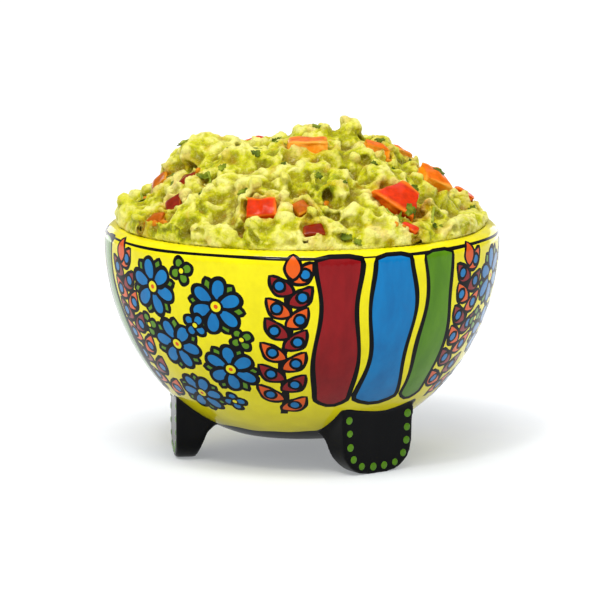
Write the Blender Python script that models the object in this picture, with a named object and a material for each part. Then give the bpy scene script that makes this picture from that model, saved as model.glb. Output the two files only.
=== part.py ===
"""Guacamole heaped in a painted pottery bowl that stands on three slab feet.

Lengths are in metres, +Z is up, and the origin is on the table under the middle of the bowl.
The bowl and its feet are one piece of fired clay. The guacamole fills the bowl and rises over
the rim in a lumpy mound. Each piece of tomato that shows is a solid of its own, in a pocket of
the mound, and the flecks of coriander leaf are fused to the mound.
"""

import math
import random

import bmesh
import bpy
from mathutils import Matrix, Vector, noise
from mathutils.bvhtree import BVHTree

MM = 0.001
CLEARANCE = 0.3 * MM  # air between neighbouring solids

# Bowl
BOWL_SEGMENTS = 64
BELLY_RADIUS = 70 * MM
BELLY_HEIGHT = 76 * MM  # where the bowl is widest
BELLY_DEPTH = 70 * MM  # from the widest ring down to where the belly curve would close
BELLY_POWER_DOWN, BELLY_POWER_OUT = 1.8, 2.4
UNDERSIDE_HEIGHT = 10 * MM
RIM_HEIGHT = 83 * MM
LIP_OUTER_ROUND = 4.5 * MM
LIP_INNER_ROUND = 1.5 * MM
WALL = 6 * MM
FLOOR_THICKNESS = 6 * MM
BELLY_RINGS, LIP_RINGS, INSIDE_RINGS = 9, 3, 8

# Feet
FOOT_ANGLES = (35.5, 155.5, 275.5)  # degrees from the front towards +X
FOOT_WIDTH = 31 * MM
FOOT_NARROWING = 0.8 * MM  # how far each side draws in from the belly to the rounded end
FOOT_FACE_RADIUS = 46 * MM  # from the bowl's axis to the flat outer face
FOOT_CORNER = 10.5 * MM
FOOT_TOE_THICKNESS = 7.2 * MM
FOOT_TAPER = 0.38  # growth of the thickness for each unit of height
FOOT_EDGE_ROUND = 1.6 * MM
FOOT_SINK = 2.5 * MM  # how far the slab's top reaches into the belly wall

# Mound of guacamole
MOUND_RADIUS = 64.6 * MM
MOUND_EDGE_HEIGHT = 85 * MM
CROWN_RISE = 25.2 * MM
DOME_POWER_OUT, DOME_POWER_UP = 2.6, 1.5
OVERHANG_RADIUS = 66.4 * MM  # the furthest that a lump hangs over the lip
LUMP_COUNT = 150
LUMP_RADII = (3.6 * MM, 6.8 * MM)
LUMP_DEPTHS = (0.25, 0.85)  # how deep a small lump's middle lies, as a share of its size
EDGE_LUMP_COUNT = 38
EDGE_LUMP_RADII = (4 * MM, 6 * MM)
LUMP_SEED = 11
VOXEL = 1.3 * MM
MOUND_TRIANGLES = 4400

# The lumps that give the mound its outline: x, y, sideways, fore-and-aft and upright radius,
# and how far the lump's middle lies under the dome's surface, in millimetres
MAIN_LUMPS = (
    (-31, 2, 13.5, 14, 9, 1.0),  # left shoulder
    (-44, 2, 6, 8, 9, 0.5),
    (-22, -14, 9, 7, 6, 1.0),
    (-4, 4, 9, 10, 6, 2.5),  # crown
    (4, 3, 10, 10, 8, 0.5),
    (17, 3, 4.5, 5, 8, -3.5),  # peak
    (27, 4, 10, 11, 8.5, 1.0),  # right shoulder
    (-1, -29, 11, 6, 5, 2.0),  # smooth slab under the crown
    (-10, -20, 8, 6, 5, 1.0),
    (20, -14, 6, 5, 6, 1.0),  # curved arm down to the right
    (27, -22, 6, 5, 5, 0.5),
    (35, -20, 7, 5, 5.5, 0.5),
    (43, -2, 6, 9, 7, 3.0),
    (51, 4, 5, 8, 5, 3.5),
    (60, -2, 6, 8, 3.5, 1.0),  # right edge
    (59, -11, 5, 6, 4, 0.5),
    (-60, -2, 6, 10, 4.5, 0.5),  # left edge
    (-57, -10, 8, 9, 5.5, 0.5),
    (-52, -27, 8, 7, 6, 0.5),
    (-27, -33, 9, 6, 6, 1.0),
    (-18, -37, 6, 5, 5.5, 0.5),
    (-11.5, -41, 5, 4.5, 5, 0.5),
    (-6.5, -42, 3, 3.2, 6.5, -1.5),
    (7, -37, 5, 4, 5, 0.5),
    (13.5, -43, 3.6, 4, 8, 0.0),
    (-37, -42, 9, 7, 7.5, 0.5),  # front left crest
    (-30, -53, 8, 6, 6, 1.0),
    (-44, -44, 7, 7, 6, 1.0),
    (-14, -58, 7, 5, 6, 1.0),
    (-4, -57.5, 6, 5, 6, 1.0),
    (9, -57.5, 7, 5, 5.5, 1.0),
    (17, -51, 6, 5, 6.5, 0.0),
    (27, -52, 8, 6, 7.5, 0.5),
    (48, -33, 12, 9, 5.5, 1.5),  # smooth slope at the front right
    (55, -24, 7, 8, 4.5, 1.0),
    (-24, 36, 12, 10, 9, 3.0),
    (20, 38, 13, 10, 8, 3.0),
    (46, 30, 9, 9, 7, 3.0),
    (-2, 54, 10, 8, 7, 2.0),
    (-42, 40, 9, 8, 7, 2.0),
    (31, 50, 8, 7, 6, 1.5),
    (-55, 18, 7, 9, 6, 1.5),
    (57, 22, 6, 8, 5, 1.5),
    (2, 22, 9, 7, 6, 1.5),
    (-12, 44, 6, 5, 6, 0.5),
    (14, 24, 5, 6, 6, 0.0),
)

# Pieces of diced tomato: x, y, length, width, depth in millimetres, turn on the spot in degrees,
# lean back in degrees, share that the upper end is narrower, and how far the middle stands out
TOMATO_PIECES = (
    (2, -16, 17, 12, 8, 4, -8, 0.15, 1.7),
    (-13.5, -50, 13, 9, 8, -8, 12, 0.10, 1.7),
    (0, -51, 8, 7, 6, 30, 0, 0.25, 1.7),
    (33, -37, 20, 14, 9, -22, 10, 0.50, 1.5),
    (43.5, -10, 13, 12, 9, 30, 8, 0.30, 1.7),
    (32.5, 5, 10, 9, 8, 50, 0, 0.20, 1.6),
    (-39, -19, 9, 8, 7, 50, 0, 0.20, 0.8),
    (-43, -30, 10, 7, 6, 80, 0, 0.10, 0.8),
    (-49.5, -34, 10, 7, 6, -40, 0, 0.30, 0.8),
    (4, -59.5, 9, 7, 5, 10, 0, 0.20, 0.8),
    (36.5, -49.5, 8, 5.5, 5, -35, 0, 0.30, 1.4),
    (-48, -4, 13, 8, 7, 85, 0, 0.15, 1.6),
    (25, -6, 11, 8, 7, 10, 0, 0.20, 1.8),
    (-16, 23, 13, 10, 8, 25, 0, 0.20, 0.2),
    (-22, 50, 13, 10, 7, 160, 0, 0.15, 1.4),
    (12, 53, 15, 10, 8, 195, 0, 0.40, 1.2),
    (-48, 27, 13, 11, 8, 120, 0, 0.10, 1.4),
    (39, 40, 12, 9, 7, 215, 0, 0.25, 1.2),
    (56, 13, 12, 9, 7, 265, 0, 0.15, 1.0),
    (28, 24, 12, 10, 8, 240, 0, 0.45, 1.6),
    (-6, 36, 10, 8, 6, 100, 0, 0.20, 1.4),
)
TOMATO_BULGE = 0.12  # how far the skin side swells, as a share of the depth
TOMATO_EDGE_ROUND = 0.8 * MM

# Flecks of chopped coriander leaf
FRONT_FLECKS = (  # x, y and length in millimetres
    (-30.2, -59.2, 6.5),
    (37.8, -22, 6.5),
    (60.5, 4, 5.5),
    (-32.9, -22.2, 5),
    (-19.5, -40.4, 4.5),
    (-15.2, -20.2, 4),
    (-36.6, -0.8, 4),
    (14.8, -59.6, 4.5),
    (32.4, -13, 4.5),
    (19, -60.5, 4),
    (-26.5, -24, 4),
    (5.5, -36, 4),
)
FLECK_COUNT = 46  # on the whole mound, of which the ones behind FLECK_LINE are kept
FLECK_LINE = -12 * MM
FLECK_LENGTHS = (3.6 * MM, 6.4 * MM)
FLECK_THICKNESS = 0.8 * MM
FLECK_MARGIN = 0.35  # share of its length that a fleck keeps clear of the tomato
FLECK_SEED = 5
FLECK_CORNERS = 6

GOLDEN_ANGLE = math.pi * (3 - math.sqrt(5))


def clear_scene():
    for obj in list(bpy.data.objects):
        bpy.data.objects.remove(obj)


def material(name, colour, roughness, metallic=0.0):
    made = bpy.data.materials.new(name)
    made.use_nodes = True
    shader = made.node_tree.nodes["Principled BSDF"]
    shader.inputs["Base Color"].default_value = (*colour, 1.0)
    shader.inputs["Roughness"].default_value = roughness
    shader.inputs["Metallic"].default_value = metallic
    return made


def new_object(name, bm, made_of=None):
    """An object that holds the bmesh, which is freed."""
    mesh = bpy.data.meshes.new(name)
    bmesh.ops.recalc_face_normals(bm, faces=bm.faces)
    bm.to_mesh(mesh)
    bm.free()
    obj = bpy.data.objects.new(name, mesh)
    bpy.context.scene.collection.objects.link(obj)
    if made_of:
        mesh.materials.append(made_of)
    return obj


def apply_modifiers(obj):
    """Replaces the object's mesh by what its modifiers make of it."""
    bpy.context.view_layer.update()
    graph = bpy.context.evaluated_depsgraph_get()
    made = bpy.data.meshes.new_from_object(obj.evaluated_get(graph))
    obj.modifiers.clear()
    obj.data = made


def drop_scraps(obj):
    """Keeps only the largest of the bodies that the object's mesh holds."""
    bm = bmesh.new()
    bm.from_mesh(obj.data)
    left = set(bm.verts)
    bodies = []
    while left:
        body, border = set(), [left.pop()]
        while border:
            vert = border.pop()
            body.add(vert)
            near = {edge.other_vert(vert) for edge in vert.link_edges} & left
            left -= near
            border.extend(near)
        bodies.append(body)
    bodies.sort(key=len)
    bmesh.ops.delete(bm, geom=[v for body in bodies[:-1] for v in body], context="VERTS")
    bm.to_mesh(obj.data)
    bm.free()


def boolean(obj, operation, others, solver="EXACT"):
    """Joins the others to obj, or cuts obj by them, and removes them."""
    group = bpy.data.collections.new("operands")
    bpy.context.scene.collection.children.link(group)
    for other in others:
        bpy.context.scene.collection.objects.unlink(other)
        group.objects.link(other)
    modifier = obj.modifiers.new(operation.title(), "BOOLEAN")
    modifier.operation = operation
    modifier.operand_type = "COLLECTION"
    modifier.collection = group
    modifier.solver = solver
    apply_modifiers(obj)
    for other in others:
        bpy.data.objects.remove(other)
    bpy.data.collections.remove(group)


def arc(centre_r, centre_z, radius, start, end, steps):
    """Points (r, z) on a round from one angle to another, in degrees, both ends included."""
    angles = [math.radians(start + (end - start) * i / steps) for i in range(steps + 1)]
    return [(centre_r + radius * math.cos(a), centre_z + radius * math.sin(a)) for a in angles]


def belly_curve(radius, depth, low, rings):
    """Points (r, z) up a superellipse, from the height low to the widest ring."""
    down = (BELLY_HEIGHT - low) / depth
    last = math.asin(min(1.0, down ** (BELLY_POWER_DOWN / 2)))
    points = []
    for i in range(rings + 1):
        turn = last * (1 - i / rings)
        out = max(0.0, math.cos(turn)) ** (2 / BELLY_POWER_OUT)
        fall = math.sin(turn) ** (2 / BELLY_POWER_DOWN)
        points.append((radius * out, BELLY_HEIGHT - depth * fall))
    return points


def belly_height_at(radius):
    """Height of the belly's outer surface at a distance from the axis."""
    out = (radius / BELLY_RADIUS) ** BELLY_POWER_OUT
    return BELLY_HEIGHT - BELLY_DEPTH * (1 - out) ** (1 / BELLY_POWER_DOWN)


def inside_curve(gap=0.0):
    """The bowl's inner wall from the middle of its floor up to the lip, moved inwards by gap."""
    depth = BELLY_HEIGHT - UNDERSIDE_HEIGHT - FLOOR_THICKNESS
    return belly_curve(
        BELLY_RADIUS - WALL - gap, depth - gap, BELLY_HEIGHT - depth + gap, INSIDE_RINGS
    )


def lathe(profile, segments):
    """A bmesh turned from a profile of (r, z) points that starts and ends on the axis."""
    bm = bmesh.new()
    turns = [2 * math.pi * i / segments for i in range(segments)]
    rings = [
        [bm.verts.new((r * math.cos(a), r * math.sin(a), z)) for a in turns]
        for r, z in profile[1:-1]
    ]
    for lower, upper in zip(rings, rings[1:]):
        for i in range(segments):
            j = (i + 1) % segments
            bm.faces.new((lower[i], lower[j], upper[j], upper[i]))
    for pole, ring in ((profile[0], rings[0]), (profile[-1], rings[-1])):
        middle = bm.verts.new((0, 0, pole[1]))
        for i in range(segments):
            bm.faces.new((middle, ring[i], ring[(i + 1) % segments]))
    return bm


def bowl_profile():
    outside = belly_curve(BELLY_RADIUS, BELLY_DEPTH, UNDERSIDE_HEIGHT, BELLY_RINGS)
    lip_middle = BELLY_RADIUS - LIP_OUTER_ROUND
    lip = arc(lip_middle, RIM_HEIGHT - LIP_OUTER_ROUND, LIP_OUTER_ROUND, 0, 90, LIP_RINGS)
    lip += arc(lip_middle, RIM_HEIGHT - LIP_INNER_ROUND, LIP_INNER_ROUND, 90, 180, LIP_RINGS)[1:]
    return [(0, UNDERSIDE_HEIGHT)] + outside + lip + inside_curve()[::-1]


def foot_outline():
    """Points across and up round the slab's rounded lower end, left to right."""
    half = FOOT_WIDTH / 2 - FOOT_NARROWING
    left = arc(-half + FOOT_CORNER, FOOT_CORNER, FOOT_CORNER, 180, 270, 5)
    right = arc(half - FOOT_CORNER, FOOT_CORNER, FOOT_CORNER, 270, 360, 5)
    return left + right


def foot(angle):
    """One slab foot, flat outside and tapered inside, with its top sunk into the belly wall."""
    outline = foot_outline()
    bm = bmesh.new()
    outer, inner = [], []
    for x, z in outline:
        outer.append(bm.verts.new((x, FOOT_FACE_RADIUS, z)))
        inner.append(bm.verts.new((x, FOOT_FACE_RADIUS - FOOT_TOE_THICKNESS - FOOT_TAPER * z, z)))
    toe = set(outer + inner)
    for x in (FOOT_WIDTH / 2, 0.0, -FOOT_WIDTH / 2):
        top = belly_height_at(math.hypot(x, FOOT_FACE_RADIUS))
        outer.append(bm.verts.new((x, FOOT_FACE_RADIUS, top + FOOT_SINK)))
        y = FOOT_FACE_RADIUS - FOOT_TOE_THICKNESS - FOOT_TAPER * top
        top = belly_height_at(math.hypot(x, y))
        inner.append(bm.verts.new((x, y, top + FOOT_SINK)))
    bm.faces.new(outer)
    bm.faces.new(inner)
    count = len(outer)
    for i in range(count):
        j = (i + 1) % count
        bm.faces.new((outer[i], outer[j], inner[j], inner[i]))
    rims = (set(outer) & toe, set(inner) & toe)
    rounded = [e for e in bm.edges if any(set(e.verts) <= rim for rim in rims)]
    bmesh.ops.bevel(
        bm, geom=rounded, offset=FOOT_EDGE_ROUND, segments=2, profile=0.5, affect="EDGES"
    )
    bm.transform(Matrix.Rotation(math.radians(angle) - math.pi, 4, "Z"))
    return new_object("foot", bm)


def bowl():
    made = new_object(
        "bowl", lathe(bowl_profile(), BOWL_SEGMENTS), material("glaze", (0.80, 0.66, 0.01), 0.12)
    )
    boolean(made, "UNION", [foot(angle) for angle in FOOT_ANGLES])
    return made


def dome_height(x, y):
    """Height of the plain dome that the lumps sit on."""
    share = min(1.0, math.hypot(x, y) / MOUND_RADIUS)
    return MOUND_EDGE_HEIGHT + CROWN_RISE * (1 - share**DOME_POWER_OUT) ** DOME_POWER_UP


def dome_normal(x, y):
    step = 0.5 * MM
    fall_x = dome_height(x - step, y) - dome_height(x + step, y)
    fall_y = dome_height(x, y - step) - dome_height(x, y + step)
    return Vector((fall_x, fall_y, 2 * step)).normalized()


def lumps():
    """Every lump of mashed avocado as its middle, its three radii and its seed."""
    for i, (x, y, *radii, depth) in enumerate(MAIN_LUMPS):
        middle = Vector((x * MM, y * MM, dome_height(x * MM, y * MM) - depth * MM))
        yield middle, Vector(radii) * MM, i
    draw = random.Random(LUMP_SEED)
    for i in range(LUMP_COUNT):
        reach = math.sqrt((i + 0.5) / LUMP_COUNT) * (MOUND_RADIUS - 3 * MM)
        angle = i * GOLDEN_ANGLE + draw.uniform(-0.3, 0.3)
        size = draw.uniform(*LUMP_RADII)
        radii = Vector([size * draw.uniform(0.7, 1.25) for _ in range(3)])
        depth = draw.uniform(*LUMP_DEPTHS) * size
        reach = min(reach, OVERHANG_RADIUS - 0.4 * MM - max(radii))
        x, y = reach * math.cos(angle), reach * math.sin(angle)
        middle = Vector((x, y, dome_height(x, y))) - dome_normal(x, y) * depth
        yield middle, radii, len(MAIN_LUMPS) + i
    for i in range(EDGE_LUMP_COUNT):
        angle = 2 * math.pi * (i + draw.uniform(-0.3, 0.3)) / EDGE_LUMP_COUNT
        size = draw.uniform(*EDGE_LUMP_RADII)
        radii = Vector([size * draw.uniform(0.75, 1.15) for _ in range(3)])
        reach = OVERHANG_RADIUS - draw.uniform(0.4, 2.0) * MM - max(radii[:2])
        height = MOUND_EDGE_HEIGHT + draw.uniform(-1.5, 2.0) * MM
        middle = Vector((reach * math.cos(angle), reach * math.sin(angle), height))
        yield middle, radii, len(MAIN_LUMPS) + LUMP_COUNT + i


def lump_swell(spot, seed):
    """How far the skin of a lump stands out at a spot of the unit ball: blunt corners and noise."""
    power = 2.2 + 0.5 * (seed % 3)
    blunt = sum(abs(c) ** power for c in spot) ** (-1 / power)
    broad = noise.noise(spot * 1.6 + Vector((seed, 0, 0)))
    fine = noise.noise(spot * 3.6 + Vector((seed, 50, 0)))
    return blunt * (1 + 0.26 * broad + 0.16 * fine)


def add_lump(bm, middle, radii, seed):
    """An uneven ball: a sphere whose skin is pushed in and out by noise."""
    turn = Matrix.Rotation(seed * GOLDEN_ANGLE, 3, "Z") if max(radii) < 8 * MM else Matrix()
    ball = bmesh.ops.create_icosphere(bm, subdivisions=3, radius=1.0)["verts"]
    for vert in ball:
        swell = lump_swell(vert.co, seed)
        vert.co = middle + turn.to_3x3() @ Vector(a * b * swell for a, b in zip(vert.co, radii))


def container():
    """The space that the guacamole may fill: the bowl's hollow, and the air over it."""
    wall = BELLY_RADIUS - WALL - CLEARANCE
    lip_middle = BELLY_RADIUS - LIP_OUTER_ROUND
    lip = arc(
        lip_middle, RIM_HEIGHT - LIP_INNER_ROUND, lip_middle - wall, 180, 90, LIP_RINGS
    )
    top = MOUND_EDGE_HEIGHT + 2 * CROWN_RISE
    profile = inside_curve(CLEARANCE) + lip + [(OVERHANG_RADIUS, lip[-1][1]), (OVERHANG_RADIUS, top)]
    return new_object("container", lathe(profile + [(0, top)], BOWL_SEGMENTS))


def mound_core():
    """A bmesh of the plain filling and its dome, wide enough to be trimmed by the container."""
    low = UNDERSIDE_HEIGHT
    rings = 12
    dome = []
    for i in range(rings + 1):
        r = MOUND_RADIUS * (1 - i / rings)
        dome.append((r, dome_height(r, 0)))
    return lathe([(0, low), (MOUND_RADIUS, low)] + dome, BOWL_SEGMENTS)


def tomato_frame(x, y, turn, lean, proud):
    """The place and attitude of a tomato piece: its own Z stands off the dome."""
    up = dome_normal(x, y)
    tilt = Vector((0, 0, 1)).rotation_difference(up).to_matrix().to_4x4()
    spin = Matrix.Rotation(math.radians(turn), 4, "Z") @ Matrix.Rotation(math.radians(lean), 4, "X")
    return Matrix.Translation(Vector((x, y, dome_height(x, y))) + up * proud) @ tilt @ spin


def tomato_piece(index, grow=0.0):
    """One uneven dice of tomato with a swollen skin side, or with grow the cutter of its pocket."""
    x, y, *size, turn, lean, taper, proud = TOMATO_PIECES[index]
    draw = random.Random(index)
    bm = bmesh.new()
    bmesh.ops.create_cube(bm, size=2.0)
    for vert in bm.verts:
        end = 1 - taper if vert.co.y > 0 else 1.0
        half = [s * MM / 2 * draw.uniform(0.88, 1.04) for s in size]
        half[0] *= end
        vert.co = Vector(c * (h + grow) for c, h in zip(vert.co, half))
    skin = max(bm.faces, key=lambda face: face.calc_center_median().z)
    middle = bmesh.ops.poke(bm, faces=[skin])["verts"][0]
    middle.co.z += TOMATO_BULGE * size[2] * MM
    bmesh.ops.bevel(
        bm,
        geom=[e for e in bm.edges if e.calc_face_angle() > math.radians(40)],
        offset=TOMATO_EDGE_ROUND,
        segments=1,
        affect="EDGES",
    )
    bm.transform(tomato_frame(x * MM, y * MM, turn, lean, proud * MM))
    return new_object(f"tomato_{index + 1:02d}" if not grow else "pocket", bm)


def fleck(middle, up, length, seed):
    """A thin bent chip of leaf whose one end is sunk in the mound."""
    draw = random.Random(seed)
    tilt = Vector((0, 0, 1)).rotation_difference(up).to_matrix().to_4x4()
    lean = Matrix.Rotation(math.radians(draw.uniform(12, 35)), 4, "Y")
    spin = Matrix.Rotation(draw.uniform(0, 2 * math.pi), 4, "Z")
    bm = bmesh.new()
    rims = []
    for z in (-FLECK_THICKNESS / 2, FLECK_THICKNESS / 2):
        rim = []
        for i in range(FLECK_CORNERS):
            a = 2 * math.pi * i / FLECK_CORNERS
            x, y = math.cos(a) * length / 2, math.sin(a) * length / 3
            bend = 0.25 * length * (2 * x / length) ** 2
            rim.append(bm.verts.new((x, y, z + bend)))
        rims.append(rim)
    draw_state = [draw.uniform(0.75, 1.1) for _ in range(FLECK_CORNERS)]
    for rim in rims:
        for vert, share in zip(rim, draw_state):
            vert.co.x *= share
            vert.co.y *= share
        centre = bm.verts.new(sum((v.co for v in rim), Vector()) / FLECK_CORNERS)
        for i in range(FLECK_CORNERS):
            bm.faces.new((centre, rim[i], rim[(i + 1) % FLECK_CORNERS]))
    for i in range(FLECK_CORNERS):
        j = (i + 1) % FLECK_CORNERS
        bm.faces.new((rims[0][i], rims[0][j], rims[1][j], rims[1][i]))
    bm.transform(Matrix.Translation(middle) @ tilt @ spin @ lean)
    return new_object("fleck", bm)


def clear_of_tomato(point, margin):
    for x, y, length, width, *_ in TOMATO_PIECES:
        reach = math.hypot(length, width) / 2 * MM + margin
        if (Vector((x * MM, y * MM)) - point.xy).length < reach:
            return False
    return True


def flecks(mound):
    """Coriander flecks spread over the mound by a spiral, clear of the tomato pieces."""
    mesh = bmesh.new()
    mesh.from_mesh(mound.data)
    surface = BVHTree.FromBMesh(mesh)
    mesh.free()
    draw = random.Random(FLECK_SEED)
    places = [(x * MM, y * MM, length * MM) for x, y, length in FRONT_FLECKS]
    for i in range(FLECK_COUNT):
        reach = math.sqrt((i + 0.5) / FLECK_COUNT) * (MOUND_RADIUS - 5 * MM)
        angle = i * GOLDEN_ANGLE + draw.uniform(-0.4, 0.4)
        length = draw.uniform(*FLECK_LENGTHS)
        if reach * math.sin(angle) > FLECK_LINE:
            places.append((reach * math.cos(angle), reach * math.sin(angle), length))
    made = []
    for i, (x, y, length) in enumerate(places):
        up = dome_normal(x, y)
        outside = Vector((x, y, dome_height(x, y))) + up * 20 * MM
        point, _, _, _ = surface.ray_cast(outside, -up)
        if point and clear_of_tomato(point, FLECK_MARGIN * length):
            made.append(fleck(point + up * 0.2 * MM, up, length, i))
    return made


def guacamole():
    """The filling and its mound: core and lumps fused, trimmed to the bowl, pocketed, flecked."""
    bm = mound_core()
    for middle, radii, seed in lumps():
        add_lump(bm, middle, radii, seed)
    made = new_object("guacamole", bm)
    fuse = made.modifiers.new("Fuse", "REMESH")
    fuse.mode = "VOXEL"
    fuse.voxel_size = VOXEL
    apply_modifiers(made)
    thin = made.modifiers.new("Thin", "DECIMATE")
    made.data.calc_loop_triangles()
    thin.ratio = MOUND_TRIANGLES / len(made.data.loop_triangles)
    apply_modifiers(made)
    chips = flecks(made)
    pockets = [tomato_piece(i, CLEARANCE) for i in range(len(TOMATO_PIECES))]
    boolean(made, "INTERSECT", [container()], "MANIFOLD")
    boolean(made, "UNION", chips, "MANIFOLD")
    boolean(made, "DIFFERENCE", pockets, "MANIFOLD")
    drop_scraps(made)
    made.data.materials.clear()
    made.data.materials.append(material("mashed_avocado", (0.62, 0.64, 0.12), 0.45))
    return made


def tomatoes():
    flesh = material("tomato", (0.80, 0.12, 0.02), 0.25)
    for i in range(len(TOMATO_PIECES)):
        tomato_piece(i).data.materials.append(flesh)


def main():
    clear_scene()
    bowl().data.shade_smooth()
    guacamole()
    tomatoes()


main()
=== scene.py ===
"""Looks of the guacamole in its painted pottery bowl: glaze, painting, mash, tomato, leaf and light."""

import math
import random

import bmesh
import bpy
import numpy as np
from mathutils import Euler, Matrix, Vector, noise
from mathutils.bvhtree import BVHTree
from mathutils.geometry import delaunay_2d_cdt
from mathutils.kdtree import KDTree


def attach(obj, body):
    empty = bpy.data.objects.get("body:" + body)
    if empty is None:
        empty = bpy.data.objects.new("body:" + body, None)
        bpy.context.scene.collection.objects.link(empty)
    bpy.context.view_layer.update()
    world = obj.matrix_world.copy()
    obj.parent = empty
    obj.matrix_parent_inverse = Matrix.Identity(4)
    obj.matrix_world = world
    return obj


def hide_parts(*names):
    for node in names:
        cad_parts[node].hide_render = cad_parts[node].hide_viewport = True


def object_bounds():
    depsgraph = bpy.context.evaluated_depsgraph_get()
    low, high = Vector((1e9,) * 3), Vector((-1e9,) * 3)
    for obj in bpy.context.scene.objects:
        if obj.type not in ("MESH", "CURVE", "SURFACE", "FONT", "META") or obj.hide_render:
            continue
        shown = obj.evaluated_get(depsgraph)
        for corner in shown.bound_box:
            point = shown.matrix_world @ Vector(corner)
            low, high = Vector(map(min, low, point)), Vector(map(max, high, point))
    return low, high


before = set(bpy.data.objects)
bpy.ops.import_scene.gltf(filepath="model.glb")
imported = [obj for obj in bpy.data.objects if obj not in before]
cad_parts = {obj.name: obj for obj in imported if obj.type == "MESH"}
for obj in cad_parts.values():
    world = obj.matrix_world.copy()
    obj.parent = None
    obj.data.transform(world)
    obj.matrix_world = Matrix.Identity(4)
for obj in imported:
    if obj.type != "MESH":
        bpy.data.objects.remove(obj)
CAD_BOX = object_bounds()
noise.seed_set(1)  # the vector noise differs from run to run without it

MM = 0.001
SENSOR, FOCAL_PIXELS, PHOTO_PIXELS = 36, 4503, 600
GOLDEN_ANGLE = math.pi * (3 - math.sqrt(5))

# Bowl, as in the solids, in millimetres
BELLY_RADIUS, BELLY_HEIGHT, BELLY_DEPTH = 70.0, 76.0, 70.0
POWER_DOWN, POWER_OUT = 1.8, 2.4
UNDERSIDE, RIM = 10.0, 83.0
LIP_OUT, LIP_IN = 4.5, 1.5
WALL, FLOOR_THICK = 6.0, 6.0
FOOT_ANGLES = (35.5, 155.5, 275.5)
FOOT_WIDTH, FOOT_NARROWING, FOOT_CORNER = 31.0, 0.8, 10.5
FOOT_FACE, FOOT_TOE, FOOT_TAPER = 46.0, 7.2, 0.38
FEET_TOP = 27.5  # how high the feet's piece reaches up the belly
PAINT_TOP, PAINT_LOW = 80.5, 27.0  # heights between which the bands run
LINE_TOP, LINE_LOW = 4.2, 5.3  # ink line under the lip, as lengths from the lip's top

# Mound, as in the solids, in millimetres
MOUND_RADIUS, MOUND_EDGE, CROWN_RISE = 64.6, 85.0, 25.2
DOME_OUT, DOME_UP = 2.6, 1.5
OVERHANG = 66.4
CORE_LOW, PLUG_TOP = 74.0, 80.5  # the heap's core overlaps the plug that fills the bowl
FREE_HEIGHT = 84.0  # above this the mash can swell and break up
LUMP_COUNT, LUMP_RADII, LUMP_SEED = 150, (3.6, 6.8), 11
LUMP_DEPTHS = (0.25, 0.85)
EDGE_COUNT, EDGE_RADII = 38, (4.0, 6.0)
MAIN_LUMPS = (  # x, y, three radii, depth under the dome: 35 seen in front, then the back
    (-31, 2, 13.5, 14, 9, 1.0), (-44, 2, 6, 8, 9, 0.5), (-22, -14, 9, 7, 6, 1.0),
    (-4, 4, 9, 10, 6, 2.5), (4, 3, 10, 10, 8, 0.5), (17, 3, 4.5, 5, 8, -3.5), (27, 4, 10, 11, 8.5, 1.0),
    (-1, -29, 11, 6, 5, 2.0), (-10, -20, 8, 6, 5, 1.0), (20, -14, 6, 5, 6, 1.0),
    (27, -22, 6, 5, 5, 0.5), (35, -20, 7, 5, 5.5, 0.5), (43, -2, 6, 9, 7, 3.0), (51, 4, 5, 8, 5, 3.5),
    (60, -2, 6, 8, 3.5, 1.0), (59, -11, 5, 6, 4, 0.5), (-60, -2, 6, 10, 4.5, 0.5),
    (-57, -10, 8, 9, 5.5, 0.5), (-52, -27, 8, 7, 6, 0.5), (-27, -33, 9, 6, 6, 1.0),
    (-18, -37, 6, 5, 5.5, 0.5), (-11.5, -41, 5, 4.5, 5, 0.5), (-6.5, -42, 3, 3.2, 6.5, -1.5),
    (7, -37, 5, 4, 5, 0.5), (13.5, -43, 3.6, 4, 8, 0.0), (-37, -42, 9, 7, 7.5, 0.5),
    (-30, -53, 8, 6, 6, 1.0), (-44, -44, 7, 7, 6, 1.0), (-14, -58, 7, 5, 6, 1.0),
    (-4, -57.5, 6, 5, 6, 1.0), (9, -57.5, 7, 5, 5.5, 1.0), (17, -51, 6, 5, 6.5, 0.0),
    (27, -52, 8, 6, 7.5, 0.5), (48, -33, 12, 9, 5.5, 1.5), (55, -24, 7, 8, 4.5, 1.0),
    (-24, 36, 12, 10, 9, 3.0), (20, 38, 13, 10, 8, 3.0), (46, 30, 9, 9, 7, 3.0),
    (-2, 54, 10, 8, 7, 2.0), (-42, 40, 9, 8, 7, 2.0), (31, 50, 8, 7, 6, 1.5), (-55, 18, 7, 9, 6, 1.5),
    (57, 22, 6, 8, 5, 1.5), (2, 22, 9, 7, 6, 1.5), (-12, 44, 6, 5, 6, 0.5), (14, 24, 5, 6, 6, 0.0),
)
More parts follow.
